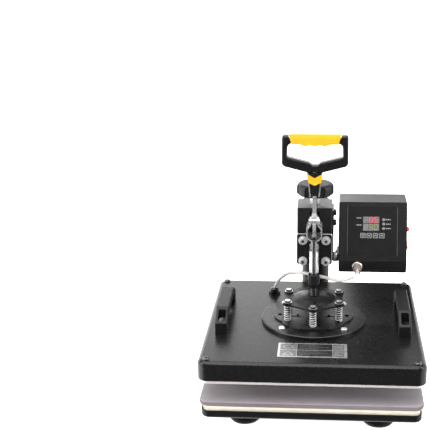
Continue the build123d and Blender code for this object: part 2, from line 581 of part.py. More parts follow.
def lever_bar():
    half, shank = 3.6, COVER_LOW - 3
    bar = block(-half, half, -7, 7, shank, TOP + 300) + block(-half, half, -5.6, 5.6, PIVOT_Z, shank)
    bar += bar_x(0, PIVOT_Z, -half, half, 7)
    cheek = Pos(0, (CRANK_Y) / 2, (PIVOT_Z + CRANK_Z) / 2)
    lean = degrees(atan2(CRANK_Z - PIVOT_Z, -CRANK_Y))
    for side in (-1, 1):
        x0, x1 = sorted((side * half, side * (half + 1.8)))
        bar += bar_x(0, PIVOT_Z, x0, x1, 6) + bar_x(CRANK_Y, CRANK_Z, x0, x1, 6)
        bar += cheek * Pos((x0 + x1) / 2, 0, 0) * Rot(-lean, 0, 0) * Box(x1 - x0, CRANK, 12)
        bar += block(x0, x1, -6, 6, PIVOT_Z, TOP + 206)
        x0, x1 = sorted((side * (half + 1.8), side * (half + 3.2)))
        bar += bar_x(CRANK_Y, CRANK_Z, x0, x1, 3.6)
    bar -= bar_x(0, PIVOT_Z, -10, 10, 3.55)
    low, high = COVER_LOW - 1.4, HANDLE_LOW - 0.1
    strips = []
    for side in (-1, 1):
        strip = Polyline(*[(side * (cover_side(z) + out), z) for z, out in
                           ((low, 0.05), (low, 2.2), (high, 2.0), (high, 0.05))], close=True)
        strips.append(front_shape(make_face(strip), -8, 8))
    return group([bar, *strips])


def cover_side(z):
    """Half width of the lever's cover, which widens upwards."""
    return 7.0 + 4.6 * (z - COVER_LOW) / (HANDLE_LOW - COVER_LOW)


def lever_cover():
    high = HANDLE_LOW - 0.1
    half = cover_side(high)
    outline = Polyline((-7.0, COVER_LOW), (7.0, COVER_LOW), (half, high), (-half, high), close=True)
    cover = front_shape(make_face(outline), -9.5, 9.5)
    cover = fillet(cover.edges().filter_by(Axis.X).group_by(Axis.Z)[0], 2)
    return cover - block(-3.65, 3.65, -7.05, 7.05, COVER_LOW - 1, HANDLE_LOW)


def d_handle():
    """Loop handle: top bar, two sides and two arms that meet in a wedge on the lever."""
    half, top = HANDLE_HALF, HANDLE_TOP
    outer = rounded((half, top, 5), (half + 0.8, TOP + 299.5, 9), (13.6, HANDLE_LOW, 0),
                    (-13.6, HANDLE_LOW, 0), (-half - 0.8, TOP + 299.5, 9), (-half, top, 5))
    hole = rounded((48.8, TOP + 341, 9), (49.7, TOP + 316, 3.5), (10.7, TOP + 306, 4), (4.4, TOP + 301.5, 3),
                   (-4.4, TOP + 301.5, 3), (-10.7, TOP + 306, 4), (-49.7, TOP + 316, 3.5),
                   (-48.8, TOP + 341, 9))
    loop = front_shape(outer, -HANDLE_DEPTH, HANDLE_DEPTH)
    loop = fillet([e for f in (0, -1) for e in loop.faces().sort_by(Axis.Y)[f].edges()], 4.5)
    opening = front_shape(hole, -HANDLE_DEPTH, HANDLE_DEPTH)
    loop -= opening
    rims = [e for f in (0, -1) for w in loop.faces().sort_by(Axis.Y)[f].inner_wires() for e in w.edges()]
    loop = fillet(rims, 3.5)
    loop -= block(-47, 47, -20, 20, TOP + 341, TOP + 357) - block(-48, 48, -6, 6, TOP + 341, TOP + 351)
    return loop - block(-3.65, 3.65, -7.05, 7.05, TOP + 280, TOP + 300.1)


def handle_grip():
    """Moulded grip round the loop's top bar, with three finger swells below."""
    ends, lobe = TOP + 340, TOP + 336.9
    half = Polyline((0, HANDLE_TOP + 0.4), (46.4, HANDLE_TOP + 0.4), (41.4, ends), (33, ends))
    wave = Spline((33, ends), (25, ends - 0.7), (17.8, lobe), (8.8, lobe + 1.7), (0, lobe),
                  tangents=[(-1, 0), (-1, 0)])
    face = make_face(half + wave + Line((0, lobe), (0, HANDLE_TOP + 0.4)))
    body = front_shape(face + mirror(face, Plane.YZ), -GRIP_DEPTH, GRIP_DEPTH)
    rims = body.edges().filter_by(Axis.X).sort_by(Axis.Z)[-2:]
    body = fillet(rims, 6)
    core = block(-48, 48, -6.05, 6.05, TOP + 340.95, TOP + 351.05)
    return body - core


def toggle_link():
    x = 3.2
    link = bar_x(0, 0, -x, x, 4.4) + bar_x(0, LINK, -x, x, 4.4) + block(-x, x, -4.4, 4.4, 0, LINK)
    pin = bar_x(0, 0, -5.0, 5.0, 2.4)
    return Pos(0, 0, PIN_Z) * Rot(LINK_TILT, 0, 0) * (link + pin)


def plunger_rod():
    high = PIN_Z + 5.6
    rod = post(0, 0, SPIDER_LOW - 4, high, ROD_R)
    rod -= block(-3.5, 3.5, -6, 6, PIN_Z - 8, high)
    rod -= bar_x(0, PIN_Z, -6, 6, 2.45)
    nut = Pos(0, 0, SPIDER_LOW - 4) * extrude(RegularPolygon(9.5, 6), 4)
    return rod + nut


def coupling():
    body = post(0, 0, COUPLING_LOW + 8, COUPLING_HIGH, 11) + cone(0, 0, COUPLING_LOW, COUPLING_LOW + 8, 8.8, 11)
    body = fillet(body.edges().group_by(Axis.Z)[-1], 1.5)
    return body - post(0, 0, COUPLING_LOW, COUPLING_HIGH, ROD_R)


def spider_plate():
    """Six-armed pressure plate with concave sides and a shallow domed middle."""
    tips = ring_points(67, 6, 30)
    sides = []
    for i in range(6):
        middle = radians(60 + 60 * i)
        sides.append(ThreePointArc(tips[i], (54 * cos(middle), 54 * sin(middle)), tips[(i + 1) % 6]))
    face = make_face(Wire(sides))
    face = fillet(face.vertices(), 7)
    plate = Pos(0, 0, SPIDER_LOW) * extrude(face, SPIDER_T)
    plate -= post(0, 0, SPIDER_LOW, SPIDER_LOW + SPIDER_T, DOME_R - 2)
    ball = (DOME_R**2 + DOME_RISE**2) / (2 * DOME_RISE)
    centre = Pos(0, 0, SPIDER_LOW + SPIDER_T + DOME_RISE - ball)
    dome = centre * Sphere(ball) - centre * Sphere(ball - 2.5)
    dome &= post(0, 0, SPIDER_LOW, SPIDER_LOW + 20, DOME_R)
    plate += dome + post(0, 0, SPIDER_LOW, SPIDER_LOW + SPIDER_T + DOME_RISE + 0.6, 11)
    for x, y in ring_points(BOLT_RING, 6, 30):
        plate -= post(x, y, SPIDER_LOW, SPIDER_LOW + 20, 4.08)
    for angle in (20, 160, 200, 340):
        slot = Pos(0, 0, SPIDER_LOW) * Rot(0, 0, angle) * Pos(47.5, 0, 0)
        plate -= slot * extrude(SlotOverall(12, 2.4, rotation=90), 10)
    return plate - post(0, 0, SPIDER_LOW, SPIDER_LOW + 20, ROD_R)


# ---- upper platen ----
def platen_cover():
    low = TOP - COVER_H
    shell = slab(COVER_W, COVER_W, COVER_CORNER, low, TOP)
    shell = fillet(shell.edges().group_by(Axis.Z)[-1], 8)
    inside = slab(COVER_W - 2 * SHEET, COVER_W - 2 * SHEET, COVER_CORNER - SHEET, low, TOP - SHEET)
    inside = fillet(inside.edges().group_by(Axis.Z)[-1], 8 - SHEET)
    shell -= inside
    for x, y in corners(DISC_SCREW_X, DISC_SCREW_Y) + corners(CORNER_X, CORNER_Y):
        shell -= post(x, y, TOP - SHEET, TOP, 3.05)
    return shell - post(GLAND_X, GLAND_Y, TOP - SHEET, TOP, 6.05)


def element_path():
    """Serpentine of straight runs and half-turns across the heating plate."""
    runs, reach, pitch = 6, 150.0, 58.0
    points = []
    for i in range(runs):
        x = (i - (runs - 1) / 2) * pitch
        ends = (-reach, reach) if i % 2 == 0 else (reach, -reach)
        points += [(x, ends[0], HEATER_TOP), (x, ends[1], HEATER_TOP)]
    return FilletPolyline(*points, radius=28.0)


def element_solid(r):
    path = element_path()
    start = Plane(origin=path @ 0, z_dir=path % 0)
    return sweep(start * Circle(r), path=path)


def heating_plate():
    plate = slab(HEATER_W, HEATER_W, COVER_CORNER - 1, TOP - HEATER_LOW, HEATER_TOP)
    return plate - element_solid(ELEMENT_R + 0.02)


def heating_element():
    return element_solid(ELEMENT_R)


def insulation_layer():
    return slab(HEATER_W - 6, HEATER_W - 6, COVER_CORNER - 4, HEATER_TOP + 4.3, HEATER_TOP + 14)


def mounting_disc():
    disc = post(0, 0, TOP, TOP + DISC_T, DISC_R)
    disc = fillet(disc.edges().group_by(Axis.Z)[-1], 2)
    for x, y in corners(DISC_SCREW_X, DISC_SCREW_Y):
        disc -= post(x, y, TOP, TOP + DISC_T, 3.05)
    return disc


def lobed_plate():
    """Six shallow lobes between the shoulder bolts, with keyed slots either side."""
    low = TOP + DISC_T
    reach, cusp = 74.5, 67.2
    a = radians(30)
    d = (reach**2 - cusp**2) / (2 * (reach - cusp * cos(a)))
    face = Circle(cusp - 8)
    for x, y in ring_points(d, 6, 0):
        face += Pos(x, y) * Circle(reach - d)
    plate = Pos(0, 0, low) * extrude(face, LOBE_T)
    for side in (-1, 1):
        key = SlotOverall(19, 4.6) + Pos(side * -2, 5) * Rectangle(3.6, 10)
        plate -= Pos(side * 31.5, -10.5, low) * extrude(key, LOBE_T)
        plate -= post(side * 63, -3, low, low + LOBE_T, 4.2)
    return plate


def bolt_ring():
    return ring_points(BOLT_RING, 6, 30)


def shoulder_bolts():
    top = SPIDER_LOW + SPIDER_T + 0.1
    bolts = []
    for x, y in bolt_ring():
        bolt = post(x, y, TOP + DISC_T + LOBE_T, top, 4.0) + post(x, y, top, top + 2, 7.8)
        bolts.append(bolt + Pos(x, y, top + 2) * extrude(RegularPolygon(5.9, 6), 3.6))
    return group(bolts)


def springs():
    low, high = TOP + DISC_T + LOBE_T, SPIDER_LOW
    coil = Helix((high - low - 2 * WIRE_R - 0.4) / SPRING_TURNS, high - low - 2 * WIRE_R - 0.4, SPRING_R)
    start = Plane(origin=coil @ 0, z_dir=coil % 0)
    wire = sweep(start * Circle(WIRE_R), path=coil, is_frenet=True)
    return group(Pos(x, y, low + WIRE_R + 0.2) * wire for x, y in bolt_ring())


def platen_screws():
    pieces = []
    for x, y in corners(DISC_SCREW_X, DISC_SCREW_Y):
        head = fillet(post(x, y, TOP + DISC_T, TOP + DISC_T + 3, 6).edges().group_by(Axis.Z)[-1], 2.2)
        pieces.append(head + post(x, y, HEATER_TOP + 14.3, TOP + DISC_T, 3.0))
    for x, y in corners(CORNER_X, CORNER_Y):
        head = fillet(post(x, y, TOP, TOP + 4, 6).edges().group_by(Axis.Z)[-1], 2.8)
        head -= Pos(x, y, TOP + 2) * extrude(RegularPolygon(2.8, 6), 3)
        pieces.append(head + post(x, y, TOP - 9, TOP, 3.0))
    for side in (-1, 1):
        for y in (HANDLE_FRONT + 19, HANDLE_REAR - 19):
            x = side * HANDLE_X
            head = post(x, y, TOP + 10, TOP + 15, 5) - post(x, y, TOP + 12, TOP + 15, 2.6)
            pieces.append(head + post(x, y, TOP, TOP + 10, 2.95))
    return group(pieces)


def side_handle(side):
    """Bridge handle with a screw pocket in each leg."""
    f, r, h = HANDLE_FRONT, HANDLE_REAR, TOP + HANDLE_H
    outline = FilletPolyline((f, TOP), (f + 2, TOP + 20), (f + 36, h), (r - 36, h), (r - 2, TOP + 20),
                             (r, TOP), radius=[3, 12, 12, 3])
    under = FilletPolyline((r, TOP), (r - 24, TOP), (r - 32, TOP + 22), (f + 32, TOP + 22),
                           (f + 24, TOP), (f, TOP), radius=[1, 8, 8, 1])
    face = Plane.YZ * make_face(outline + under)
    x = side * HANDLE_X
    grip = Pos(x, 0, 0) * extrude(face, HANDLE_W / 2, both=True)
    for end, way in ((f, 1), (r, -1)):
        y0, y1 = sorted((end + way * 6.5, end + way * 31))
        pocket = block(x - 7.2, x + 7.2, y0, y1, TOP + 10, TOP + 60)
        pocket = fillet(pocket.edges().filter_by(Axis.Z), 3)
        grip -= pocket
        grip -= post(x, end + way * 19, TOP, TOP + 10, 3.0)
    sides = [face for face in grip.faces() if abs(face.normal_at().X) > 0.99 and face.area > 500]
    for outer in sides:
        rim = [e for e in outer.outer_wire().edges() if e.center().Z > TOP + 19]
        grip = fillet(rim, 2.5)
    return grip


def cable_gland():
    base = Pos(GLAND_X, GLAND_Y, TOP) * extrude(RegularPolygon(11.6, 6), 5.5)
    cap = post(GLAND_X, GLAND_Y, TOP + 5.5, TOP + 13, 8.4)
    cap = fillet(cap.edges().group_by(Axis.Z)[-1], 4)
    return base + cap + post(GLAND_X, GLAND_Y, TOP - 10, TOP, 6.0)


# ---- heater cable ----
# The route's points, from the plug at the control box to the seam behind the rod, then to the gland.
FRONT_ROUTE = [(81.4, 18.0, 90.8), (81.2, 5.5, 90.7), (75.4, -7.4, 89.8), (64.0, -14.4, 87.6),
               (51.6, -13.8, 84.2), (40.0, -6.2, 81.4), (27.4, 4.8, 81.0), (13.9, 12.9, 80.6),
               (0.0, 24.0, 79.5)]
REAR_ROUTE = [(0.0, 24.0, 79.5), (-13.9, 35.1, 78.4), (-27.5, 51.0, 74.0), (-41.0, 69.0, 67.0),
              (-54.0, 88.0, 57.0), (-65.0, 105.0, 43.0), (-74.0, 117.0, 28.5), (-80.5, 123.0, 12.0)]


def route_radii(points):
    radii = []
    for a, b, c in zip(points, points[1:], points[2:]):
        before, after = Vector(*b) - Vector(*a), Vector(*c) - Vector(*b)
        turn = before.get_angle(after)
        radii.append(0.45 * min(before.length, after.length) / tan(radians(turn / 2)))
    return radii


def cable(points):
    radii = route_radii(points)
    print("cable radii", [round(r, 1) for r in radii])
    path = FilletPolyline(*[(x, y, TOP + z) for x, y, z in points], radius=radii)
    start = Plane(origin=path @ 0, z_dir=path % 0)
    tube = sweep(start * Circle(CABLE_R), path=path)
    print("cable length", round(path.length, 1), "volume ratio", round(tube.volume / (pi * CABLE_R**2 * path.length), 4))
    return tube


def main():
    os.makedirs("parts", exist_ok=True)
    parts = {
        "base_frame": base_frame, "column_shaft": column_shaft, "feet": feet,
        "base_fasteners": base_fasteners, "lower_tray": lower_tray, "felt_layer": felt_layer,
        "silicone_pad": silicone_pad, "swing_arm": swing_arm, "sleeve_bushes": sleeve_bushes,
        "column_cap": column_cap, "head_housing": head_housing, "head_bolts": head_bolts,
        "strap_bracket": strap_bracket, "control_box": control_box, "box_back": box_back,
        "control_panel": control_panel, "display_window": display_window,
        "indicator_leds": indicator_leds, "control_electronics": control_electronics,
        "side_bezels": side_bezels, "rocker": rocker, "pilot_lamp": pilot_lamp,
        "power_inlet": power_inlet, "connector_socket": connector_socket, "cable_plug": cable_plug,
        "box_screws": box_screws, "knob": knob, "pressure_spindle": pressure_spindle,
        "slide_block": slide_block, "clamp_plate": clamp_plate, "clamp_bolts": clamp_bolts,
        "clamp_pivot_pin": clamp_pivot_pin, "lever_bar": lever_bar, "lever_cover": lever_cover,
        "d_handle": d_handle, "handle_grip": handle_grip, "toggle_link": toggle_link,
        "plunger_rod": plunger_rod, "coupling": coupling, "spider_plate": spider_plate,
        "platen_cover": platen_cover, "heating_plate": heating_plate,
        "heating_element": heating_element, "insulation_layer": insulation_layer,
        "mounting_disc": mounting_disc, "lobed_plate": lobed_plate,
        "shoulder_bolts": shoulder_bolts, "springs": springs, "platen_screws": platen_screws,
        "cable_gland": cable_gland,
    }
    for name, make in parts.items():
        save(name, make())
    for i, x in enumerate(BUTTON_XS, start=1):
        save(f"push_button_{i}", push_button(x))
    for name, side in (("left", -1), ("right", 1)):
        save(f"clamp_half_{name}", clamp_half(side))
        save(f"side_handle_{name}", side_handle(side))
    save("heater_cable_front", cable(FRONT_ROUTE))
    save("heater_cable_rear", cable(REAR_ROUTE))
    print("lever travel", LEVER_TRAVEL, "link tilt", LINK_TILT, "link pin", PIN_Z, "crank", CRANK_Y, CRANK_Z)


main()
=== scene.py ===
from math import atan2, cos, pi, radians, sin

import bpy
from mathutils import Matrix, Vector, noise


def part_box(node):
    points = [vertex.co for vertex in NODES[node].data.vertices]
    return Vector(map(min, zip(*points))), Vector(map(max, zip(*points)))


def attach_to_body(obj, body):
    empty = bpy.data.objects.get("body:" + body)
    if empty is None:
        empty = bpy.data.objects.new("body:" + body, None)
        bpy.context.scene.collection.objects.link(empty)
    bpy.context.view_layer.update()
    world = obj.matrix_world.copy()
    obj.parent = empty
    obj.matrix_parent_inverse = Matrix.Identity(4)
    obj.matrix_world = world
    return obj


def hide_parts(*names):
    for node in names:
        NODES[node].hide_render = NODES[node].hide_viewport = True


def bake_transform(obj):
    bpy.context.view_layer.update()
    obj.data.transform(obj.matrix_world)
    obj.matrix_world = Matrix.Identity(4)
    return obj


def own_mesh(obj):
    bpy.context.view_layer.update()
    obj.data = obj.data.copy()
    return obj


# Looks for the swing-away heat press. Metres, +Z up, +Y to the back. Places on the machine are
# given in millimetres about the platen's centre, with heights above the flat top of the
# platen's cover.

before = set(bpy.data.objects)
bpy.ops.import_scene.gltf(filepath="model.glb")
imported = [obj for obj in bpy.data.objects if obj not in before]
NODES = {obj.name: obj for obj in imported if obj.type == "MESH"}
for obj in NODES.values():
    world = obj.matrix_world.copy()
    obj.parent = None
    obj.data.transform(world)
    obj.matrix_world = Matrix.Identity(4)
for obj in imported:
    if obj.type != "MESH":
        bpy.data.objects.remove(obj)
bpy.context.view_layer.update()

COVER_LOW, COVER_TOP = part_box("platen_cover")
CENTRE_Y = (COVER_LOW[1] + COVER_TOP[1]) / 2
TOP = COVER_TOP[2]
MM = 0.001


def at(x, y, up):
    return Vector((x * MM, CENTRE_Y + y * MM, TOP + up * MM))


# ---------------------------------------------------------------- camera
LENS, SENSOR = 81.75, 36
SHIFT = (-0.1047, 0.0814)
AIM = at(-100.2, 0, 136.8)
DISTANCE, AZIMUTH, ELEVATION, ROLL = 1.8133, 0.07328, 0.34347, -0.00987
CLIP_END = 200


def make_camera():
    level = cos(ELEVATION)
    back = Vector((sin(AZIMUTH) * level, -cos(AZIMUTH) * level, sin(ELEVATION)))
    right = Vector((cos(AZIMUTH), sin(AZIMUTH), 0))
    up = back.cross(right)
    right, up = cos(ROLL) * right + sin(ROLL) * up, cos(ROLL) * up - sin(ROLL) * right
    data = bpy.data.cameras.new("camera")
    data.lens, data.sensor_width = LENS, SENSOR
    data.shift_x, data.shift_y = SHIFT
    data.clip_end = CLIP_END
    camera = bpy.data.objects.new("camera", data)
    turn = Matrix((right, up, back)).transposed().to_4x4()
    camera.matrix_world = Matrix.Translation(AIM + back * DISTANCE) @ turn
    bpy.context.scene.collection.objects.link(camera)
    bpy.context.scene.camera = camera


make_camera()


# ---------------------------------------------------------------- node graphs
class Nodes:
    """Short calls for the nodes that materials and the sky use."""

    def __init__(self, tree):
        self.tree = tree

    def add(self, kind, **settings):
        node = self.tree.nodes.new(kind)
        for key, value in settings.items():
            setattr(node, key, value)
        return node

    def link(self, source, target):
        self.tree.links.new(source, target)

    def part(self, vector, axis):
        split = self.add("ShaderNodeSeparateXYZ")
        self.link(vector, split.inputs[0])
        return split.outputs[axis]

    def remap(self, value, low, high, to_low=0.0, to_high=1.0, **settings):
        node = self.add("ShaderNodeMapRange", **settings)
        for key, number in (("From Min", low), ("From Max", high),
                            ("To Min", to_low), ("To Max", to_high)):
            node.inputs[key].default_value = number
        self.link(value, node.inputs["Value"])
        return node.outputs["Result"]

    def maths(self, operation, a, b=0):
        node = self.add("ShaderNodeMath", operation=operation)
        for socket, value in zip(node.inputs, (a, b)):
            if isinstance(value, (int, float)):
                socket.default_value = value
            else:
                self.link(value, socket)
        return node.outputs[0]


class Graph(Nodes):
    """A material's node graph."""

    def __init__(self, name):
        self.material = bpy.data.materials.new(name)
        self.material.use_nodes = True
        super().__init__(self.material.node_tree)
        self.shader = self.tree.nodes["Principled BSDF"]
        self.place = self.add("ShaderNodeTexCoord").outputs["Object"]

    def stretched(self, scale, source=None):
        node = self.add("ShaderNodeMapping")
        node.inputs["Scale"].default_value = scale
        self.link(source or self.place, node.inputs["Vector"])
        return node.outputs["Vector"]

    def noise(self, scale, detail, where=None):
        node = self.add("ShaderNodeTexNoise")
        node.inputs["Scale"].default_value = scale
        node.inputs["Detail"].default_value = detail
        self.link(where or self.place, node.inputs["Vector"])
        return node.outputs["Fac"]

    def cloud(self, scale, detail, low=0.0, high=1.0):
        """Noise whose middle range is spread over low to high."""
        return self.remap(self.noise(scale, detail), 0.3, 0.7, low, high)

    def cells(self, scale):
        node = self.add("ShaderNodeTexVoronoi")
        node.inputs["Scale"].default_value = scale
        self.link(self.place, node.inputs["Vector"])
        return node.outputs["Distance"]

    def blend(self, factor, first, second):
        node = self.add("ShaderNodeMix", data_type="RGBA")
        self.link(factor, node.inputs["Factor"])
        for socket, value in ((node.inputs["A"], first), (node.inputs["B"], second)):
            if isinstance(value, tuple):
                socket.default_value = (*value, 1.0)
            else:
                self.link(value, socket)
        return node.outputs["Result"]

    def normal_part(self, axis):
        return self.part(self.add("ShaderNodeNewGeometry").outputs["True Normal"], axis)

    def bump(self, height, strength, distance, under=None):
        node = self.add("ShaderNodeBump")
        node.inputs["Strength"].default_value = strength
        node.inputs["Distance"].default_value = distance
        self.link(height, node.inputs["Height"])
        if under:
            self.link(under, node.inputs["Normal"])
        return node.outputs["Normal"]

    def use(self, socket, value):
        target = self.shader.inputs[socket]
        if isinstance(value, (int, float)):
            target.default_value = value
        elif isinstance(value, tuple):
            target.default_value = (*value, 1.0)
        else:
            self.link(value, target)


# ---------------------------------------------------------------- materials
BLACK = (0.003, 0.003, 0.0031)
DUST = (0.35, 0.34, 0.33)
BARE_STEEL = ((0.86, 0.86, 0.86), (0.95, 0.95, 0.95))   # worn and bright


def shade(colour, factor):
    return tuple(min(1.0, c * factor) for c in colour)


def surface(name, colour, rough, metal=0.0, grain=(900, 0.15, 0.0002), mottle=0.08, smudge=0.08,
            specular=0.5, coat=0.0, dust=0.0):
    """Moulded, painted or printed: slow colour variation, handled roughness, fine grain."""
    g = Graph(name)
    tone = g.blend(g.cloud(38, 4), shade(colour, 1 - mottle), shade(colour, 1 + mottle))
    if dust:
        upward = g.remap(g.normal_part("Z"), 0.6, 1.0)
        film = g.maths("MULTIPLY", upward, g.remap(g.noise(160, 6), 0.45, 0.75, 0, dust))
        tone = g.blend(film, tone, DUST)
    g.use("Base Color", tone)
    g.use("Roughness", g.cloud(90, 5, rough - smudge, rough + smudge))
    g.use("Metallic", metal)
    g.use("Specular IOR Level", specular)
    g.use("Coat Weight", coat)
    g.use("Coat Roughness", 0.12)
    scale, strength, distance = grain
    g.use("Normal", g.bump(g.noise(scale, 3), strength, distance))
    return g.material


def plated(name, colour, rough, streak=(1, 1, 12), depth=0.1, metal=0.86):
    """Bright metal with fine drawing marks and faint finger smears."""
    g = Graph(name)
    lines = g.noise(420, 4, g.stretched(streak))
    g.use("Base Color", g.blend(g.cloud(60, 4), shade(colour, 0.9), colour))
    wave = g.maths("ADD", g.remap(lines, 0.3, 0.7, -0.04, 0.05), g.cloud(130, 3, 0, 0.1))
    g.use("Roughness", g.maths("ADD", wave, rough))
    g.use("Metallic", metal)
    g.use("Normal", g.bump(lines, depth, 0.00008))
    return g.material


def glow(name, colour, strength):
    """Lit display segment."""
    g = Graph(name)
    g.use("Base Color", shade(colour, 0.12))
    g.use("Specular IOR Level", 0.1)
    g.use("Emission Color", g.blend(g.cloud(500, 2), shade(colour, 0.85), colour))
    g.use("Emission Strength", strength)
    g.use("Roughness", 0.4)
    return g.material


def tinted(name, colour):
    """Translucent moulded plastic, such as a lamp's dome."""
    g = Graph(name)
    g.use("Base Color", g.blend(g.cloud(160, 3), shade(colour, 0.85), colour))
    g.use("Roughness", g.cloud(400, 2, 0.12, 0.2))
    g.use("Transmission Weight", 0.35)
    g.use("IOR", 1.49)
    return g.material


def bolt_steel():
    """Bolts bright on top, their sides painted dark: painted shade for the shadow inside the
    springs.
    """
    g = Graph("bolt_steel")
    upward = g.remap(g.normal_part("Z"), 0.3, 0.7)
    marks = g.cloud(320, 4)
    # painted shade: faces not turned up are coloured dark
    g.use("Base Color", g.blend(upward, (0.07, 0.07, 0.07), g.blend(marks, *BARE_STEEL)))
    g.use("Roughness", g.remap(marks, 0, 1, 0.34, 0.26))
    g.use("Metallic", 0.9)
    g.use("Normal", g.bump(g.noise(900, 3), 0.15, 0.0001))
    return g.material


def screw_steel():
    """Platen screws: bright in the middle of the cover, darker towards its corners, where the same
    screws are painted dark as a painted reflection of the dark they mirror.
    """
    g = Graph("screw_steel")
    outer = g.remap(g.maths("ABSOLUTE", g.part(g.place, "X")), 0.09, 0.12)
    marks = g.cloud(320, 4)
    # painted reflection: the outer screws get a dark colour and lower roughness
    g.use("Base Color", g.blend(outer, g.blend(marks, *BARE_STEEL), (0.12, 0.12, 0.125)))
    g.use("Roughness", g.remap(outer, 0, 1, 0.32, 0.1))
    g.use("Metallic", g.remap(marks, 0, 1, 0.85, 0.95))
    g.use("Normal", g.bump(g.noise(900, 3), 0.15, 0.0001))
    return g.material


def clamp_plate_paint():
    """Black plate whose chamfers are bare bright steel."""
    g = Graph("clamp_plate_paint")
    facing = g.maths("ABSOLUTE", g.normal_part("Y"))
    chamfer = g.maths("MULTIPLY", g.remap(facing, 0.3, 0.5), g.remap(facing, 0.95, 0.8))
    bare = g.maths("MULTIPLY", chamfer, g.remap(g.noise(260, 4), 0.25, 0.4))
    g.use("Base Color", g.blend(bare, (0.0035, 0.0035, 0.0037), (0.4, 0.4, 0.4)))
    g.use("Metallic", bare)
    g.use("Roughness", g.remap(bare, 0, 1, 0.42, 0.24))
    g.use("Specular IOR Level", 0.4)
    g.use("Normal", g.bump(g.noise(1500, 3), 0.12, 0.0001))
    return g.material


def heater_metal():
    """Aluminium casting, with a dark non-stick coat on its working face."""
    g = Graph("heater_metal")
    coated = g.remap(g.normal_part("Z"), -0.6, -0.9)
    pores = g.remap(g.noise(700, 5), 0.35, 0.65)
    bright = g.blend(pores, (0.74, 0.68, 0.66), (0.88, 0.82, 0.8))
    g.use("Base Color", g.blend(coated, bright, (0.035, 0.037, 0.036)))
    g.use("Metallic", g.remap(coated, 0, 1, 0.75, 0))
    g.use("Roughness", g.remap(pores, 0, 1, 0.4, 0.55))
    g.use("Normal", g.bump(pores, 0.2, 0.0001))
    return g.material


def sponge():
    """Silicone sponge in patchy tones with fine pores: its top painted paler and its sides darker
    by the way they face, painted light and shade, and its pores painted dark as shade.
    """
    g = Graph("silicone_sponge")
    pores = g.cells(1500)
    patches = g.remap(g.noise(9, 5), 0.35, 0.65)
    painted_shaded_sides = g.blend(patches, (0.1, 0.085, 0.092), (0.125, 0.11, 0.117))
    painted_lit_top = g.blend(patches, (0.27, 0.235, 0.253), (0.32, 0.285, 0.303))
    # painted light and shade: faces turned up take the paler tone, the sides the darker one
    tone = g.blend(g.remap(g.normal_part("Z"), 0.4, 0.8), painted_shaded_sides, painted_lit_top)
    # painted shade: darker in the pores
    g.use("Base Color", g.blend(g.remap(pores, 0.0, 0.22), (0.08, 0.07, 0.075), tone))
    g.use("Roughness", g.cloud(60, 3, 0.72, 0.88))
    g.use("Specular IOR Level", 0.3)
    g.use("Sheen Weight", 0.25)
    g.use("Sheen Roughness", 0.4)
    soft = g.bump(g.noise(45, 4), 0.25, 0.0008)
    g.use("Normal", g.bump(pores, 0.3, 0.0002, soft))
    return g.material


def felt():
    """Pressed cream fibre board: laid fibres in uneven clumps, with a little fuzz."""
    g = Graph("felt_fibre")
    fibres = g.noise(900, 8, g.stretched((1, 1, 5)))
    tone = g.blend(g.cloud(55, 6), (0.56, 0.515, 0.43), (0.66, 0.62, 0.54))
    g.use("Base Color", g.blend(g.remap(fibres, 0.3, 0.62), (0.5, 0.45, 0.36), tone))
    g.use("Roughness", 0.95)
    g.use("Specular IOR Level", 0.15)
    g.use("Sheen Weight", 0.3)
    g.use("Sheen Roughness", 0.5)
    g.use("Normal", g.bump(fibres, 0.6, 0.0006))
    return g.material


def braid():
    """Woven glass-fibre sleeve: two families of strands crossing round the cable."""
    g = Graph("glass_fibre_braid")
    uv = g.add("ShaderNodeTexCoord").outputs["UV"]
    strands = []
    for lean in (1.0, -1.0):
        wave = g.add("ShaderNodeTexWave", wave_type="BANDS", bands_direction="DIAGONAL")
        wave.inputs["Scale"].default_value = 5.0
        g.link(g.stretched((lean, 1.0, 1.0), uv), wave.inputs["Vector"])
        strands.append(wave.outputs["Fac"])
    weave = g.maths("MAXIMUM", *strands)
    worn = g.remap(g.noise(90, 4), 0.35, 0.7)
    pale = g.blend(worn, (0.5, 0.46, 0.44), (0.6, 0.57, 0.555))
    g.use("Base Color", g.blend(g.remap(weave, 0.15, 0.6), (0.36, 0.32, 0.3), pale))
    g.use("Roughness", g.remap(weave, 0, 1, 0.85, 0.55))
    g.use("Sheen Weight", 0.2)
    g.use("Normal", g.bump(weave, 0.7, 0.0004))
    return g.material


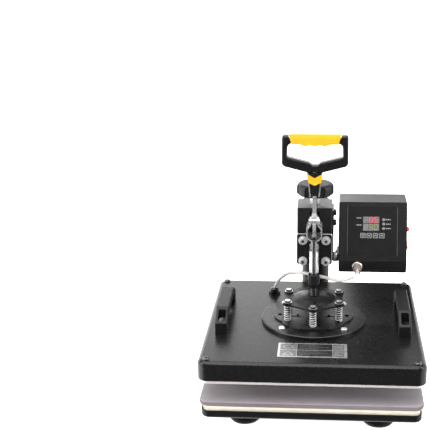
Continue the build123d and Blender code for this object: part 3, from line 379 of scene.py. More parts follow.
SURFACES = {
    "cover_paint": dict(colour=BLACK, rough=0.28, grain=(2600, 0.05, 0.00003), mottle=0.12,
                        smudge=0.02, specular=0.45, dust=0.004),
    "tray_paint": dict(colour=BLACK, rough=0.38, grain=(1800, 0.08, 0.00005), specular=0.3),
    "head_paint": dict(colour=(0.0035, 0.0035, 0.0036), rough=0.34, grain=(620, 0.5, 0.0003),
                       mottle=0.2, smudge=0.06, specular=0.7, dust=0.02),
    "box_paint": dict(colour=BLACK, rough=0.36, grain=(1500, 0.2, 0.00012), smudge=0.04,
                      specular=0.7, dust=0.008),
    "disc_paint": dict(colour=BLACK, rough=0.33, grain=(1600, 0.12, 0.00008), specular=0.7),
    "spider_paint": dict(colour=BLACK, rough=0.34, grain=(700, 0.4, 0.00025), mottle=0.25,
                         smudge=0.1, specular=0.4),
    # dead black for the painted shade in the lobed plate's holes
    "soot": dict(colour=(0.001, 0.001, 0.001), rough=0.9, grain=(900, 0.3, 0.0002),
                 specular=0.0),
    # dark colour for the painted shade in the socket screws
    "well": dict(colour=(0.035, 0.034, 0.033), rough=0.6, grain=(900, 0.3, 0.0002),
                 specular=0.3),
    "black_oxide": dict(colour=(0.018, 0.018, 0.02), rough=0.3, metal=0.6,
                        grain=(900, 0.2, 0.0001)),
    "grained_plastic": dict(colour=(0.004, 0.004, 0.0042), rough=0.42,
                            grain=(1300, 0.5, 0.00025), smudge=0.06, specular=0.38),
    "gloss_plastic": dict(colour=(0.0035, 0.0035, 0.0037), rough=0.18, grain=(220, 0.05, 0.0002),
                          smudge=0.05, specular=0.6),
    "rubber": dict(colour=(0.006, 0.0055, 0.0055), rough=0.62, grain=(800, 0.4, 0.0003),
                   mottle=0.2, dust=0.02),
    "grip_yellow": dict(colour=(0.56, 0.275, 0.003), rough=0.45, grain=(1100, 0.3, 0.0002),
                        mottle=0.05, specular=0.2),
    "panel_film": dict(colour=(0.006, 0.006, 0.0063), rough=0.38, grain=(1400, 0.25, 0.00008),
                       specular=0.32),
    "key_film": dict(colour=(0.035, 0.035, 0.037), rough=0.42, grain=(1400, 0.25, 0.00008),
                     specular=0.45),
    "print_grey": dict(colour=(0.07, 0.07, 0.072), rough=0.5, grain=(2000, 0.1, 0.00005)),
    "print_dim": dict(colour=(0.011, 0.011, 0.0115), rough=0.5, grain=(2000, 0.1, 0.00005)),
    "print_pale": dict(colour=(0.33, 0.33, 0.335), rough=0.5, grain=(2000, 0.1, 0.00005)),
    "smoked_window": dict(colour=(0.12, 0.117, 0.12), rough=0.16, grain=(300, 0.05, 0.00005),
                          coat=0.5),
    "ghost_segment": dict(colour=(0.17, 0.166, 0.166), rough=0.35, grain=(600, 0.05, 0.00005)),
    "board": dict(colour=(0.02, 0.16, 0.05), rough=0.4, grain=(900, 0.4, 0.0002), mottle=0.3),
    "fibre_blanket": dict(colour=(0.72, 0.68, 0.58), rough=0.95, grain=(700, 0.9, 0.001),
                          mottle=0.2),
    "switch_red": dict(colour=(0.68, 0.012, 0.025), rough=0.28, grain=(700, 0.1, 0.0001),
                       coat=0.3),
    "label_black": dict(colour=(0.012, 0.012, 0.013), rough=0.3, grain=(1500, 0.1, 0.00005),
                        coat=0.3),
    "label_grey": dict(colour=(0.22, 0.22, 0.23), rough=0.3, metal=0.6,
                       grain=(1500, 0.1, 0.00005)),
}
METALS = {
    "zinc": dict(colour=(0.9, 0.9, 0.9), rough=0.3, streak=(1, 1, 1), depth=0.2),
    "chrome": dict(colour=(0.74, 0.74, 0.75), rough=0.2),
    "dark_chrome": dict(colour=(0.3, 0.3, 0.31), rough=0.14, metal=1.0),
    "plug_metal": dict(colour=(0.78, 0.69, 0.65), rough=0.16, streak=(1, 14, 1)),
    "bronze": dict(colour=(0.5, 0.36, 0.18), rough=0.4),
    "label_foil": dict(colour=(0.72, 0.72, 0.73), rough=0.24, streak=(1, 30, 1), depth=0.15),
}
LAMPS = {
    "lamp_white": dict(colour=(0.28, 0.275, 0.27)),
    "lamp_red": dict(colour=(0.75, 0.015, 0.03)),
}
FIGURES = {
    "digit_red": dict(colour=(1.0, 0.07, 0.13), strength=1.05),
    "digit_green": dict(colour=(0.5, 0.55, 0.08), strength=0.45),
}
COATS = {
    "bolt_steel": bolt_steel(),
    "screw_steel": screw_steel(),
    "clamp_plate_paint": clamp_plate_paint(),
    "heater_metal": heater_metal(),
    "sponge": sponge(),
    "felt": felt(),
    "braid": braid(),
}
for kind, looks in ((surface, SURFACES), (plated, METALS), (tinted, LAMPS), (glow, FIGURES)):
    for coat_name, look in looks.items():
        COATS[coat_name] = kind(coat_name, **look)

NODE_COATS = {
    "cover_paint": ("platen_cover",),
    "tray_paint": ("base_frame", "lower_tray", "swing_arm"),
    "head_paint": ("head_housing", "strap_bracket"),
    "box_paint": ("control_box", "box_back"),
    "disc_paint": ("mounting_disc", "lobed_plate"),
    "spider_paint": ("spider_plate",),
    "black_oxide": ("coupling", "head_bolts"),
    "grained_plastic": ("knob", "side_handle_left", "side_handle_right", "column_cap",
                        "lever_cover"),
    "gloss_plastic": ("d_handle", "side_bezels", "power_inlet", "cable_gland"),
    "rubber": ("feet",),
    "grip_yellow": ("handle_grip",),
    "panel_film": ("control_panel",),
    "key_film": ("push_button_1", "push_button_2", "push_button_3", "push_button_4"),
    "smoked_window": ("display_window",),
    "board": ("control_electronics",),
    "fibre_blanket": ("insulation_layer",),
    "lamp_white": ("indicator_leds",),
    "lamp_red": ("pilot_lamp",),
    "switch_red": ("rocker",),
    "zinc": ("column_shaft", "base_fasteners", "box_screws", "pressure_spindle", "slide_block",
             "clamp_bolts", "heating_element"),
    "screw_steel": ("platen_screws",),
    "bolt_steel": ("shoulder_bolts",),
    "chrome": ("clamp_half_left", "clamp_half_right", "clamp_pivot_pin", "lever_bar",
               "toggle_link"),
    "dark_chrome": ("plunger_rod",),
    "plug_metal": ("connector_socket", "cable_plug"),
    "bronze": ("sleeve_bushes",),
    "clamp_plate_paint": ("clamp_plate",),
    "heater_metal": ("heating_plate",),
}


def coat(piece, name):
    piece.data.materials.clear()
    piece.data.materials.append(COATS[name])


for coat_name, members in NODE_COATS.items():
    for member in members:
        coat(NODES[member], coat_name)


# ---------------------------------------------------------------- mesh helpers
def new_piece(name, points, faces, coat_name, smooth=True):
    mesh = bpy.data.meshes.new(name)
    mesh.from_pydata([tuple(p) for p in points], [], faces)
    mesh.validate()
    mesh.update()
    if smooth:
        mesh.shade_smooth()
    piece = bpy.data.objects.new(name, mesh)
    bpy.context.scene.collection.objects.link(piece)
    coat(piece, coat_name)
    return piece


def attach(piece, body):
    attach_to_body(piece, body)
    return piece


class Shape:
    """Points and faces gathered for one piece."""

    def __init__(self):
        self.points, self.faces = [], []

    def add(self, points, faces):
        base = len(self.points)
        self.points += points
        self.faces += [tuple(base + i for i in face) for face in faces]

    def rings(self, rings):
        """Skins a run of closed rings that have the same number of points, and caps its ends."""
        n, faces = len(rings[0]), []
        for r in range(len(rings) - 1):
            for i in range(n):
                j = (i + 1) % n
                faces.append((r * n + i, r * n + j, (r + 1) * n + j, (r + 1) * n + i))
        faces.append(tuple(reversed(range(n))))
        faces.append(tuple((len(rings) - 1) * n + i for i in range(n)))
        self.add([p for ring in rings for p in ring], faces)

    def prism(self, outline, place, low, high):
        """A flat outline's (u, v) points, placed by place(u, v, out) and given a thickness."""
        n = len(outline)
        points = [place(u, v, out) for out in (low, high) for u, v in outline]
        sides = [(i, (i + 1) % n, n + (i + 1) % n, n + i) for i in range(n)]
        self.add(points, [tuple(reversed(range(n))), tuple(range(n, 2 * n))] + sides)

    def frame(self, outer, inner, place, low, high):
        """A flat ring between two outlines with the same number of points."""
        n = len(outer)
        loops = ((outer, low), (outer, high), (inner, high), (inner, low))
        faces = []
        for k in range(4):
            a, b = k * n, ((k + 1) % 4) * n
            faces += [(a + i, a + (i + 1) % n, b + (i + 1) % n, b + i) for i in range(n)]
        self.add([place(u, v, out) for line, out in loops for u, v in line], faces)

    def make(self, name, coat_name, body, slot):
        return attach(new_piece(name, self.points, self.faces, coat_name, False), body)


def circle(count, r=1.0):
    """Points spread evenly round a circle."""
    angles = [2 * pi * i / count for i in range(count)]
    return [(r * cos(angle), r * sin(angle)) for angle in angles]


def oval(u, v, a, b, count):
    return [(u + a * x, v + b * y) for x, y in circle(count)]


def box_line(u, v, width, height, r=0.0, steps=4):
    """Outline of a rectangle about (u, v), its corners rounded if r is given."""
    a, b = width / 2 - r, height / 2 - r
    if not r:
        return [(u - a, v - b), (u + a, v - b), (u + a, v + b), (u - a, v + b)]
    line = []
    for cx, cy, first in ((a, -b, -90), (a, b, 0), (-a, b, 90), (-a, -b, 180)):
        for i in range(steps + 1):
            turn = radians(first + 90 * i / steps)
            line.append((u + cx + r * cos(turn), v + cy + r * sin(turn)))
    return line


TUBE_SIDES = 14
SLEEVE_REPEAT = 3      # the braid's repeats round the tube


def tube(name, path, radius, coat_name):
    """Round tube along a path, with UVs that count round the section and along the length."""
    rings, lengths = [], [0.0]
    ahead = (path[1] - path[0]).normalized()
    side = ahead.orthogonal().normalized()
    for i, point in enumerate(path):
        after = path[min(i + 1, len(path) - 1)] - path[max(i - 1, 0)]
        turn = ahead.rotation_difference(after.normalized())
        side, ahead = (turn @ side).normalized(), after.normalized()
        across = ahead.cross(side)
        rings.append([point + radius * (u * side + v * across) for u, v in circle(TUBE_SIDES)])
        if i:
            lengths.append(lengths[-1] + (point - path[i - 1]).length)
    shape = Shape()
    shape.rings(rings)
    piece = new_piece(name, shape.points, shape.faces, coat_name)
    layer = piece.data.uv_layers.new(name="sleeve")
    around = 2 * pi * radius
    for face in piece.data.polygons:
        columns = [v % TUBE_SIDES for v in face.vertices]
        wraps = len(columns) == 4 and max(columns) - min(columns) > 1
        for loop, vertex, column in zip(face.loop_indices, face.vertices, columns):
            turn = TUBE_SIDES if wraps and column == 0 else column
            along = lengths[vertex // TUBE_SIDES] / around
            layer.data[loop].uv = (turn / TUBE_SIDES * SLEEVE_REPEAT, along * SLEEVE_REPEAT)
    return piece


# ---------------------------------------------------------------- heater cable
CABLE_R = 0.00315
MEETING = (0.0, 24.0, 79.5)      # behind the rod, where the cable's two pieces meet
FRONT_ROUTE = [at(*place) for place in (
    (81.4, 18.0, 90.8), (81.2, 5.5, 90.7), (75.4, -7.4, 89.8), (64.0, -14.4, 87.6),
    (51.6, -13.8, 84.2), (40.0, -6.2, 81.4), (27.4, 4.8, 81.0), (13.9, 12.9, 80.6), MEETING)]
REAR_ROUTE = [at(*place) for place in (
    (-80.5, 123.0, 12.0), (-74.0, 117.0, 28.5), (-65.0, 105.0, 43.0), (-54.0, 88.0, 57.0),
    (-41.0, 69.0, 67.0), (-27.5, 51.0, 74.0), (-13.9, 35.1, 78.4), MEETING)]


def route_points(name, route):
    """The smooth line of a route: a NURBS spline's own points."""
    data = bpy.data.curves.new(name, "CURVE")
    data.dimensions, data.resolution_u = "3D", 12
    spline = data.splines.new("NURBS")
    spline.points.add(len(route) - 1)
    for target, point in zip(spline.points, route):
        target.co = (*point, 1.0)
    spline.order_u = 3
    spline.use_endpoint_u = True
    holder = bpy.data.objects.new(name, data)
    bpy.context.scene.collection.objects.link(holder)
    mesh = bpy.data.meshes.new_from_object(holder)
    points = [Vector(v.co) for v in mesh.vertices]
    bpy.data.objects.remove(holder)
    bpy.data.meshes.remove(mesh)
    return points


def heater_cable():
    for name, route, bodies, ends, extra in (
            ("cable_front", FRONT_ROUTE, ("arm", "carriage"), (at(76, 0, 90), at(*MEETING)),
             [NODES["cable_plug"]]),
            ("cable_rear", REAR_ROUTE, ("carriage", "platen"), (at(*MEETING), at(-74, 117, 28)),
             [])):
        path = route_points(name + "_line", route)
        piece = tube(name, path, CABLE_R, "braid")
        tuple(ends[0])
        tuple(ends[1])
        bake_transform(piece)
        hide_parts("heater_" + name)
        tuple(route[0])


heater_cable()


# ---------------------------------------------------------------- springs
SPRING_R, WIRE_R, TURNS = 6.0, 0.9, 7.2
SPRING_LOW, SPRING_HIGH = 9.0, 40.0
BOLT_RING, SPRING_COUNT = 55.0, 6
COIL_STEPS, WIRE_SIDES = 150, 8
END_COIL = 0.12      # share of the coil that closes up at each end


def spring_path(index):
    """A coil's line about one bolt and that bolt's place, the coil's ends ground to length."""
    angle = radians(30 + 360 / SPRING_COUNT * index)
    cx, cy = BOLT_RING * cos(angle), BOLT_RING * sin(angle)
    low, high = SPRING_LOW + WIRE_R, SPRING_HIGH - WIRE_R
    path = []
    for k in range(COIL_STEPS + 1):
        t = k / COIL_STEPS
        ease = min(1.0, t / END_COIL) * min(1.0, (1 - t) / END_COIL)
        rise = t + (0.5 - t) * 0.1 * (1 - ease)
        turn = 2 * pi * TURNS * t + index
        path.append(at(cx + SPRING_R * cos(turn), cy + SPRING_R * sin(turn),
                       low + (high - low) * rise))
    lowest = min(p.z for p in path)
    highest = max(p.z for p in path)
    span = (high - low) * MM / (highest - lowest)
    for p in path:
        p.z = TOP + low * MM + (p.z - lowest) * span
    return path, at(cx, cy, 0)


def springs():
    shape = Shape()
    for index in range(SPRING_COUNT):
        path, bolt = spring_path(index)
        rings = []
        for k, point in enumerate(path):
            ahead = (path[min(k + 1, COIL_STEPS)] - path[max(k - 1, 0)]).normalized()
            out = point - bolt
            out.z = 0
            out.normalize()
            across = ahead.cross(out).normalized()
            rings.append([point + WIRE_R * MM * (u * out + v * across)
                          for u, v in circle(WIRE_SIDES)])
        shape.rings(rings)
    piece = new_piece("spring_coils", shape.points, shape.faces, "zinc")
    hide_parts("springs")
    attach(piece, "platen")
    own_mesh(piece)


springs()


# ---------------------------------------------------------------- pad and felt
PAD_WIDTH, PAD_CORNER, PAD_LOW, PAD_HIGH = 393.4, 18, -85.1, -76.4
FELT_WIDTH, FELT_CORNER = 381.6, 12
FELT_SHEETS = ((-107.9, -100.7), (-100.6, -93.0), (-92.9, -85.3))
SIDE_STEPS = 40                          # points along each straight side
EDGE_STEPS = 6                           # steps round the rounded edge
TOP_INSETS = (12, 30, 60, 110, 150)      # rings over the skin
CROWN_REACH = 60                         # how far in from the edge the crown rises


def slab_line(width, corner):
    """Rounded square with its straight sides divided."""
    arcs = box_line(0, 0, width, width, corner, 8)
    line = []
    for (u0, v0), (u1, v1) in zip(arcs, arcs[1:] + arcs[:1]):
        straight = Vector((u1 - u0, v1 - v0)).length > corner
        steps = SIDE_STEPS if straight else 1
        line += [(u0 + (u1 - u0) * i / steps, v0 + (v1 - v0) * i / steps) for i in range(steps)]
    return line


def soft_slab(name, width, corner, low, high, edge, wobble, coat_name, body, seed,
              crown=0.0):
    """A square soft layer: rounded edges, a slightly wandering outline and an uneven skin."""
    profile = [(60, low), (edge * 2.2, low)]
    for i in range(EDGE_STEPS + 1):
        turn = pi * i / EDGE_STEPS
        profile.append((edge * 0.9 * (1 - sin(turn)) ** 1.3,
                        (low + high) / 2 - cos(turn) * (high - low) / 2))
    profile += [(edge * 2.2, high)] + [(inset, high) for inset in TOP_INSETS]
    rings = []
    for inset, height in profile:
        ring = []
        for u, v in slab_line(width - 2 * inset, max(corner - inset, 1.5)):
            p = Vector((u, v, height)) * 0.02
            sway = noise.noise(p * 1.1 + Vector((seed, 0, 0))) * wobble
            rise = noise.noise(p * 2.3 + Vector((0, seed, 0))) * wobble * 0.35
            spread = 1 + sway / (width / 2) if inset < TOP_INSETS[0] else 1
            on_skin = height > low + 1 and inset > 1
            lift = rise + crown * min(1, inset / CROWN_REACH) if on_skin else 0
            ring.append(at(u * spread, v * spread, height + lift))
        rings.append(ring)
    shape = Shape()
    shape.rings(rings)
    piece = new_piece(name, shape.points, shape.faces, coat_name)
    attach(piece, body)
    return piece


def bed_layers():
    pad = soft_slab("sponge_pad", PAD_WIDTH, PAD_CORNER, PAD_LOW, PAD_HIGH, 1.8, 0.6, "sponge",
                    "base", 3, 0.1)
    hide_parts("silicone_pad")
    for i, (low, high) in enumerate(FELT_SHEETS):
        soft_slab(f"felt_sheet_{i + 1}", FELT_WIDTH - 0.6 * (i % 2), FELT_CORNER,
                                low, high, 1.1, 0.5, "felt", "base", 11 + 5 * i)
    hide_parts("felt_layer")


bed_layers()


# ---------------------------------------------------------------- label on the cover
LABEL_X, LABEL_Y, LABEL_W, LABEL_H = 0.9, -139.0, 122.0, 57.0
FOIL, FIELD, MARK = (0.02, 0.3), (0.3, 0.38), (0.38, 0.44)      # heights over the cover
SIGNS_U, BARS_U, CODES_U = -42.5, 4, 46                         # middles of the three columns
BARS_LEFT, BAR_PITCH = -24, 5.6


def on_cover(u, v, out):
    return at(LABEL_X + u, LABEL_Y + v, out)


def cover_label():
    foil, dark, grey, pale = Shape(), Shape(), Shape(), Shape()
    foil.prism(box_line(0, 0, LABEL_W, LABEL_H, 1.2), on_cover, *FOIL)
    row = (LABEL_H - 10) / 2
    for side in (1, -1):
        v = side * (row / 2 + 1)
        for shape, u, width in ((dark, BARS_U, 62), (grey, SIGNS_U, 29), (grey, CODES_U, 20)):
            shape.prism(box_line(u, v, width, row, 0.6), on_cover, *FIELD)
        for k, width in enumerate((40, 52, 34)):
            line_v = v + (1 - k) * BAR_PITCH
            grey.prism(box_line(BARS_LEFT + width / 2, line_v, width, 1.3), on_cover, *MARK)
            pale.prism(box_line(CODES_U, line_v, 15, 1.0), on_cover, *MARK)
    pale.frame([(SIGNS_U - 10.5, -20), (SIGNS_U + 10.5, -20), (SIGNS_U, -5.5)],
               [(SIGNS_U - 6.9, -18), (SIGNS_U + 6.9, -18), (SIGNS_U, -8.6)], on_cover, *MARK)
    pale.frame(oval(SIGNS_U, 12.7, 9, 7, 28), oval(SIGNS_U, 12.7, 7.6, 5.6, 28), on_cover, *MARK)
    foil.make("label_plate", "label_foil", "platen", "zinc_steel")
    dark.make("label_dark", "label_black", "platen", "black_paint")
    grey.make("label_grey_fields", "label_grey", "platen", "zinc_steel")
    pale.make("label_bars", "label_foil", "platen", "zinc_steel")


cover_label()


# ---------------------------------------------------------------- painted shade in holes
LOBED_HOLE = (6.05, 6.6)                               # heights in the lobed plate's holes
CLAMP_BOLTS_X, CLAMP_BOLTS_UP = 21.65, (104.85, 146.15)
CLAMP_HEAD_Y, WELL_R = 27.2, 3.1


def painted_slot_shade():
    """Painted shade: dead-black prisms in the lobed plate's keyed slots and side holes."""
    shape = Shape()
    for side in (-1, 1):
        for line in (box_line(side * 31.5, -10.5, 18.6, 4.2, 2.1, 6),
                     box_line(side * 29.5, -4.4, 3.2, 7.2),
                     box_line(side * 63, -3, 8, 8, 3.99, 8)):
            shape.prism(line, at, *LOBED_HOLE)
    shape.make("painted_slot_shade", "soot", "platen", "black_paint")


def bolt_sockets():
    """Painted shade: dark prisms down in the clamp plate's socket screws."""
    shape = Shape()
    for x in (-CLAMP_BOLTS_X, CLAMP_BOLTS_X):
        for up in CLAMP_BOLTS_UP:
            def place(u, v, out, x=x, up=up):
                return at(x + u, CLAMP_HEAD_Y - out, up + v)
            shape.prism(circle(6, WELL_R), place, 0.05, 2.9)
    shape.make("bolt_sockets", "well", "carriage", "zinc_steel")


painted_slot_shade()
bolt_sockets()


# ---------------------------------------------------------------- control box front
FACE_FOOT_Y, FACE_FOOT_UP = 45, 101      # foot of the box's sloping front
FACE_LEAN = atan2(37.5, 106)             # and its lean from vertical
PRINT = (1.0, 1.08)                      # depths of print over the face


def on_face(x, up, out):
    rise, back = cos(FACE_LEAN), sin(FACE_LEAN)
    return at(x, FACE_FOOT_Y + up * back - out * rise, FACE_FOOT_UP + up * rise + out * back)


SEGMENTS = {"0": "abcdef", "3": "abcdg", "5": "acdfg", "8": "abcdefg"}
DIGIT_W, DIGIT_H, STROKE, SEGMENT_GAP, SLANT = 7.4, 11.0, 1.3, 0.35, 0.09
DIGIT_COLUMNS = (96.6, 106.2, 115.8)
UPPER_ROW, LOWER_ROW = 79.0, 65.2


def digit(shape, char, x, up, low, high):
    """Seven-segment figure about (x, up), leaning a little."""
    a, b = DIGIT_W / 2 - STROKE / 2, DIGIT_H / 2 - STROKE / 2
    level = {"a": (0, b), "g": (0, 0), "d": (0, -b)}
    upright = {"f": (-a, b / 2), "b": (a, b / 2), "e": (-a, -b / 2), "c": (a, -b / 2)}
    for name in SEGMENTS[char]:
        tip = (a if name in level else b / 2) - SEGMENT_GAP
        belly, t = tip - STROKE / 2, STROKE / 2
        line = [(-tip, 0), (-belly, -t), (belly, -t), (tip, 0), (belly, t), (-belly, t)]
        if name in upright:
            line = [(-v, u) for u, v in line]
        cu, cv = level[name] if name in level else upright[name]
        line = [(x + cu + u + SLANT * (cv + v), up + cv + v) for u, v in line]
        shape.prism(line, on_face, low, high)


def display():
    for colour, figures, up in (("red", "85", UPPER_ROW), ("green", "30", LOWER_ROW)):
        shape = Shape()
        for char, x in zip(figures, DIGIT_COLUMNS[1:]):
            digit(shape, char, x, up, 0.82, 0.92)
        shape.make("figures_" + colour, "digit_" + colour, "arm", "display_plastic")
    ghosts = Shape()
    for up in (UPPER_ROW, LOWER_ROW):
        digit(ghosts, "8", DIGIT_COLUMNS[0], up, 0.8, 0.86)
    ghosts.make("figures_unlit", "ghost_segment", "arm", "display_plastic")
    gap = Shape()
    gap.prism(box_line(106.6, 72.1, 30.6, 0.9), on_face, 0.8, 0.88)
    gap.frame(box_line(106.6, 71.4, 32.2, 28.6, 0.8), box_line(106.6, 71.4, 30.6, 27.0, 0.3),
              on_face, 0.9, 1.12)
    gap.make("window_surround", "panel_film", "arm", "panel_film")


def panel_print():
    lines = Shape()
    for x in (62.2, 156.2):
        lines.prism(box_line(x, 57.5, 0.7, 93), on_face, *PRINT)
    lines.make("panel_lines", "print_grey", "arm", "panel_film")
    rules = Shape()
    for up in (11.0, 104.0):
        rules.prism(box_line(109.2, up, 94, 0.35), on_face, 1.0, 1.06)
    rules.make("panel_rules", "print_dim", "arm", "panel_film")
    row_marks = ((80.4, 2.6), (83.6, 2.6), (86.8, 2.2))         # middle and width
    lamp_marks = ((135.6, 2.6), (139.0, 2.8), (142.2, 2.0))
    marks = Shape()
    for ups, row in (((82.1, 68.9), row_marks), ((79.5, 71.1, 62.7), lamp_marks)):
        for up in ups:
            for x, width in row:
                marks.prism(box_line(x, up, width, 1.5, 0.3), on_face, *PRINT)
            if row is lamp_marks:
                marks.frame(oval(130.4, up, 2.5, 2.5, 24), oval(130.4, up, 2.0, 2.0, 24),
                            on_face, *PRINT)
    marks.make("panel_marks", "print_pale", "arm", "panel_film")


KEY_UP = 49
KEY_ICONS = {
    1: [box_line(0, -1.2, 5.2, 0.6), box_line(0, 1.2, 5.2, 0.6)],
    2: [[(-2.6, 0.9), (0, -2.0), (2.6, 0.9), (2.6, 1.9), (0, -0.8), (-2.6, 1.9)]],
    3: [[(-2.6, -0.9), (-2.6, -1.9), (0, 0.8), (2.6, -1.9), (2.6, -0.9), (0, 2.0)]],
    4: [box_line(0, 0, 5.2, 0.8), box_line(0, 1.4, 0.8, 2.0)],
}


def key_prints():
    for i, strokes in KEY_ICONS.items():
        low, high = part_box(f"push_button_{i}")
        x = (low[0] + high[0]) / 2 / MM
        shape = Shape()
        shape.frame(box_line(x, KEY_UP, 9.2, 9.2, 1.3), box_line(x, KEY_UP, 8.0, 8.0, 0.9),
                    on_face, 1.98, 2.1)
        for stroke in strokes:
            shape.prism([(x + u, KEY_UP + v) for u, v in stroke], on_face, 1.98, 2.1)
        shape.make(f"key_print_{i}", "print_pale", f"button_{i}", "button_plastic")


display()
panel_print()
key_prints()


# ---------------------------------------------------------------- chevron on the lever
CHEVRON_LOW, CHEVRON_HIGH = 270.5, 286.0
LOWER_POINT, UPPER_POINT = 264.3, 278.4       # the V's points, on the middle line
COVER_FACE, BAND_SIDE, BAND_OVER = 9.5, 10.0, 0.5


def lever_edge(up):
    """Half width over the chrome strips beside the lever's cover."""
    return 9.1 + 4.6 * (up - 244.4) / 43.1


def lever_chevron():
    """Yellow V-shaped band wrapped round the lever's cover."""
    shape = Shape()
    high, low = CHEVRON_HIGH, CHEVRON_LOW
    wide, narrow = lever_edge(high) + BAND_OVER, lever_edge(low) + BAND_OVER
    band = [(-wide, high), (0, UPPER_POINT), (wide, high), (narrow, low), (0, LOWER_POINT),
            (-narrow, low)]
    for way in (-1, 1):
        def place(u, v, depth, way=way):
            return at(u, way * (COVER_FACE + depth), v)
        shape.prism(band, place, 0.02, 0.5)
    for side in (-1, 1):
        def wrap(y, up, depth, side=side):
            return at(side * (lever_edge(up) + depth), y, up)
        shape.prism([(-BAND_SIDE, low), (BAND_SIDE, low), (BAND_SIDE, high), (-BAND_SIDE, high)],
                    wrap, 0.05, 0.5)
    shape.make("lever_chevron", "grip_yellow", "lever", "yellow_plastic")


lever_chevron()


# ---------------------------------------------------------------- inlet contacts at the back
INLET_FACE_Y, INLET_DEPTH = 138, 15
CONTACTS = ((-7, -2), (7, -2), (0, 3))


def inlet_contacts():
    low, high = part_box("power_inlet")
    mid = (low[0] + high[0]) / 2 / MM
    height = ((low[2] + high[2]) / 2 - TOP) / MM
    foot, neck, tip = INLET_FACE_Y - INLET_DEPTH - 0.2, INLET_FACE_Y - 4.2, INLET_FACE_Y - 2.9
    shape = Shape()
    for dx, dz in CONTACTS:
        rings = []
        for y, grow in ((foot, 0.1), (neck, 0.1), (tip, -0.5)):
            rings.append([at(mid + dx + u, y, height + dz + v)
                          for u, v in box_line(0, 0, 2 + 2 * grow, 4 + 2 * grow, 0.4, 3)])
        shape.rings(rings)
    shape.make("inlet_contacts", "zinc", "arm", "gloss_black_plastic")


inlet_contacts()


# ---------------------------------------------------------------- floor, lights, sky
FLOOR_HALF = 14.0
DOME_R, DOME_SIDES = 12.0, 32
DOME_LIFTS = (-2, 15, 32, 49, 66, 83)      # degrees above level


def card(name, points):
    mesh = bpy.data.meshes.new(name)
    mesh.from_pydata(points, [], [(0, 1, 2, 3)])
    plane = bpy.data.objects.new(name, mesh)
    bpy.context.scene.collection.objects.link(plane)
    return plane


def floor():
    """White table whose glow grows with distance; the dimmer glow near the machine is painted shade
    round it. It is in no reflection.
    """
    half = FLOOR_HALF
    plane = card("floor", [(-half, -half, 0), (half, -half, 0), (half, half, 0), (-half, half, 0)])
    plane.visible_glossy = False
    g = Graph("floor_card")
    g.use("Base Color", g.blend(g.cloud(3, 3), (0.9, 0.9, 0.9), (0.93, 0.93, 0.93)))
    g.use("Roughness", 0.9)
    g.use("Specular IOR Level", 0.1)
    distance = g.add("ShaderNodeVectorMath", operation="LENGTH")
    g.link(g.place, distance.inputs[0])
    g.use("Emission Color", (1.0, 1.0, 1.0))
    # painted shade: the glow is weaker near the machine
    g.use("Emission Strength", g.remap(distance.outputs["Value"], 0.3, 1.6, 0.85, 1.0))
    plane.data.materials.append(g.material)


def backdrop():
    """White dome far off all round, so that the sky never shows; only the camera sees it."""
    shape = Shape()
    shape.rings([[Vector((x, y, DOME_R * sin(radians(lift))))
                  for x, y in circle(DOME_SIDES, DOME_R * cos(radians(lift)))]
                 for lift in DOME_LIFTS])
    mesh = bpy.data.meshes.new("backdrop")
    mesh.from_pydata([tuple(point) for point in shape.points], [], shape.faces)
    dome = bpy.data.objects.new("backdrop", mesh)
    bpy.context.scene.collection.objects.link(dome)
    dome.visible_glossy = dome.visible_diffuse = False
    dome.visible_shadow = dome.visible_transmission = False
    g = Graph("backdrop")
    g.use("Base Color", (0.9, 0.9, 0.9))
    g.use("Roughness", g.cloud(0.1, 2, 0.85, 0.95))
    g.use("Emission Color", (1.0, 1.0, 1.0))
    g.use("Emission Strength", 1.0)
    mesh.materials.append(g.material)


def flag(name, points):
    """Black card that only reflections show."""
    plane = card(name, points)
    plane.visible_camera = plane.visible_diffuse = False
    plane.visible_shadow = plane.visible_transmission = False
    g = Graph(name)
    g.use("Base Color", g.blend(g.noise(5, 2), (0.01, 0.01, 0.01), (0.014, 0.014, 0.014)))
    g.use("Roughness", 0.9)
    g.use("Specular IOR Level", 0.0)
    plane.data.materials.append(g.material)


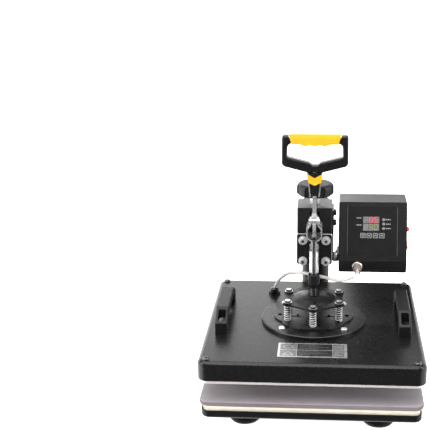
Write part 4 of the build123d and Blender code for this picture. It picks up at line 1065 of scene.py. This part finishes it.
def softbox(name, place, aim, width, depth, watts, mirrored=True):
    data = bpy.data.lights.new(name, "AREA")
    data.shape, data.size, data.size_y, data.energy = "RECTANGLE", width, depth, watts
    lamp = bpy.data.objects.new(name, data)
    lamp.location = place
    lamp.visible_glossy = mirrored
    lamp.rotation_mode = "QUATERNION"
    lamp.rotation_quaternion = (Vector(aim) - Vector(place)).to_track_quat("-Z", "Y")
    bpy.context.scene.collection.objects.link(lamp)


def sky():
    """Soft studio: pale at the sides and behind, dark in front, dim between wall and ceiling."""
    world = bpy.data.worlds.new("studio")
    world.use_nodes = True
    nodes = Nodes(world.node_tree)

    def ramp(value, low, high, to_low, to_high):
        return nodes.remap(value, low, high, to_low, to_high, interpolation_type="SMOOTHSTEP")

    direction = nodes.add("ShaderNodeTexCoord").outputs["Generated"]
    side, level, height = (nodes.part(direction, axis) for axis in "XYZ")
    forward = ramp(level, -0.75, -0.3, 0.0, 1.0)
    open_top = ramp(height, 0.45, 0.7, 0.0, 1.0)
    front = ramp(nodes.maths("MAXIMUM", forward, open_top), 0.0, 1.0, 0.08, 1.0)
    wall = ramp(height, 0.36, 0.52, 1.0, 0.2)
    ceiling = ramp(height, 0.75, 0.9, 0.0, 1.1)
    around = ramp(side, -0.25, 0.4, 2.6, 1.6)
    band = nodes.maths("MULTIPLY", nodes.maths("ADD", wall, ceiling), around)
    background = nodes.tree.nodes["Background"]
    background.inputs["Color"].default_value = (1, 1, 1, 1)
    nodes.link(nodes.maths("MULTIPLY", front, band), background.inputs["Strength"])
    bpy.context.scene.world = world


floor()
backdrop()
sky()
flag("flag_rear_right", [(0.02, 0.62, 0.0), (0.34, 0.6, 0.0), (0.34, 0.6, 0.46), (0.1, 0.62, 0.46)])
softbox("softbox_top", (0.0, -0.1, 2.2), (0, 0, 0.1), 1.8, 1.8, 17, mirrored=False)
softbox("softbox_left", (-1.7, -0.6, 1.3), (0, 0, 0.25), 0.7, 1.6, 16)
softbox("softbox_right", (1.7, -0.3, 1.2), (0, 0, 0.25), 0.5, 1.5, 14)
softbox("softbox_front", (0.0, -2.2, 1.0), (0, -0.15, 0.1), 1.6, 0.6, 27, mirrored=False)
softbox("softbox_strip", (-0.1, -1.6, 1.9), (0, 0, 0.2), 1.5, 0.22, 9)
bpy.context.scene.view_settings.view_transform = "Standard"
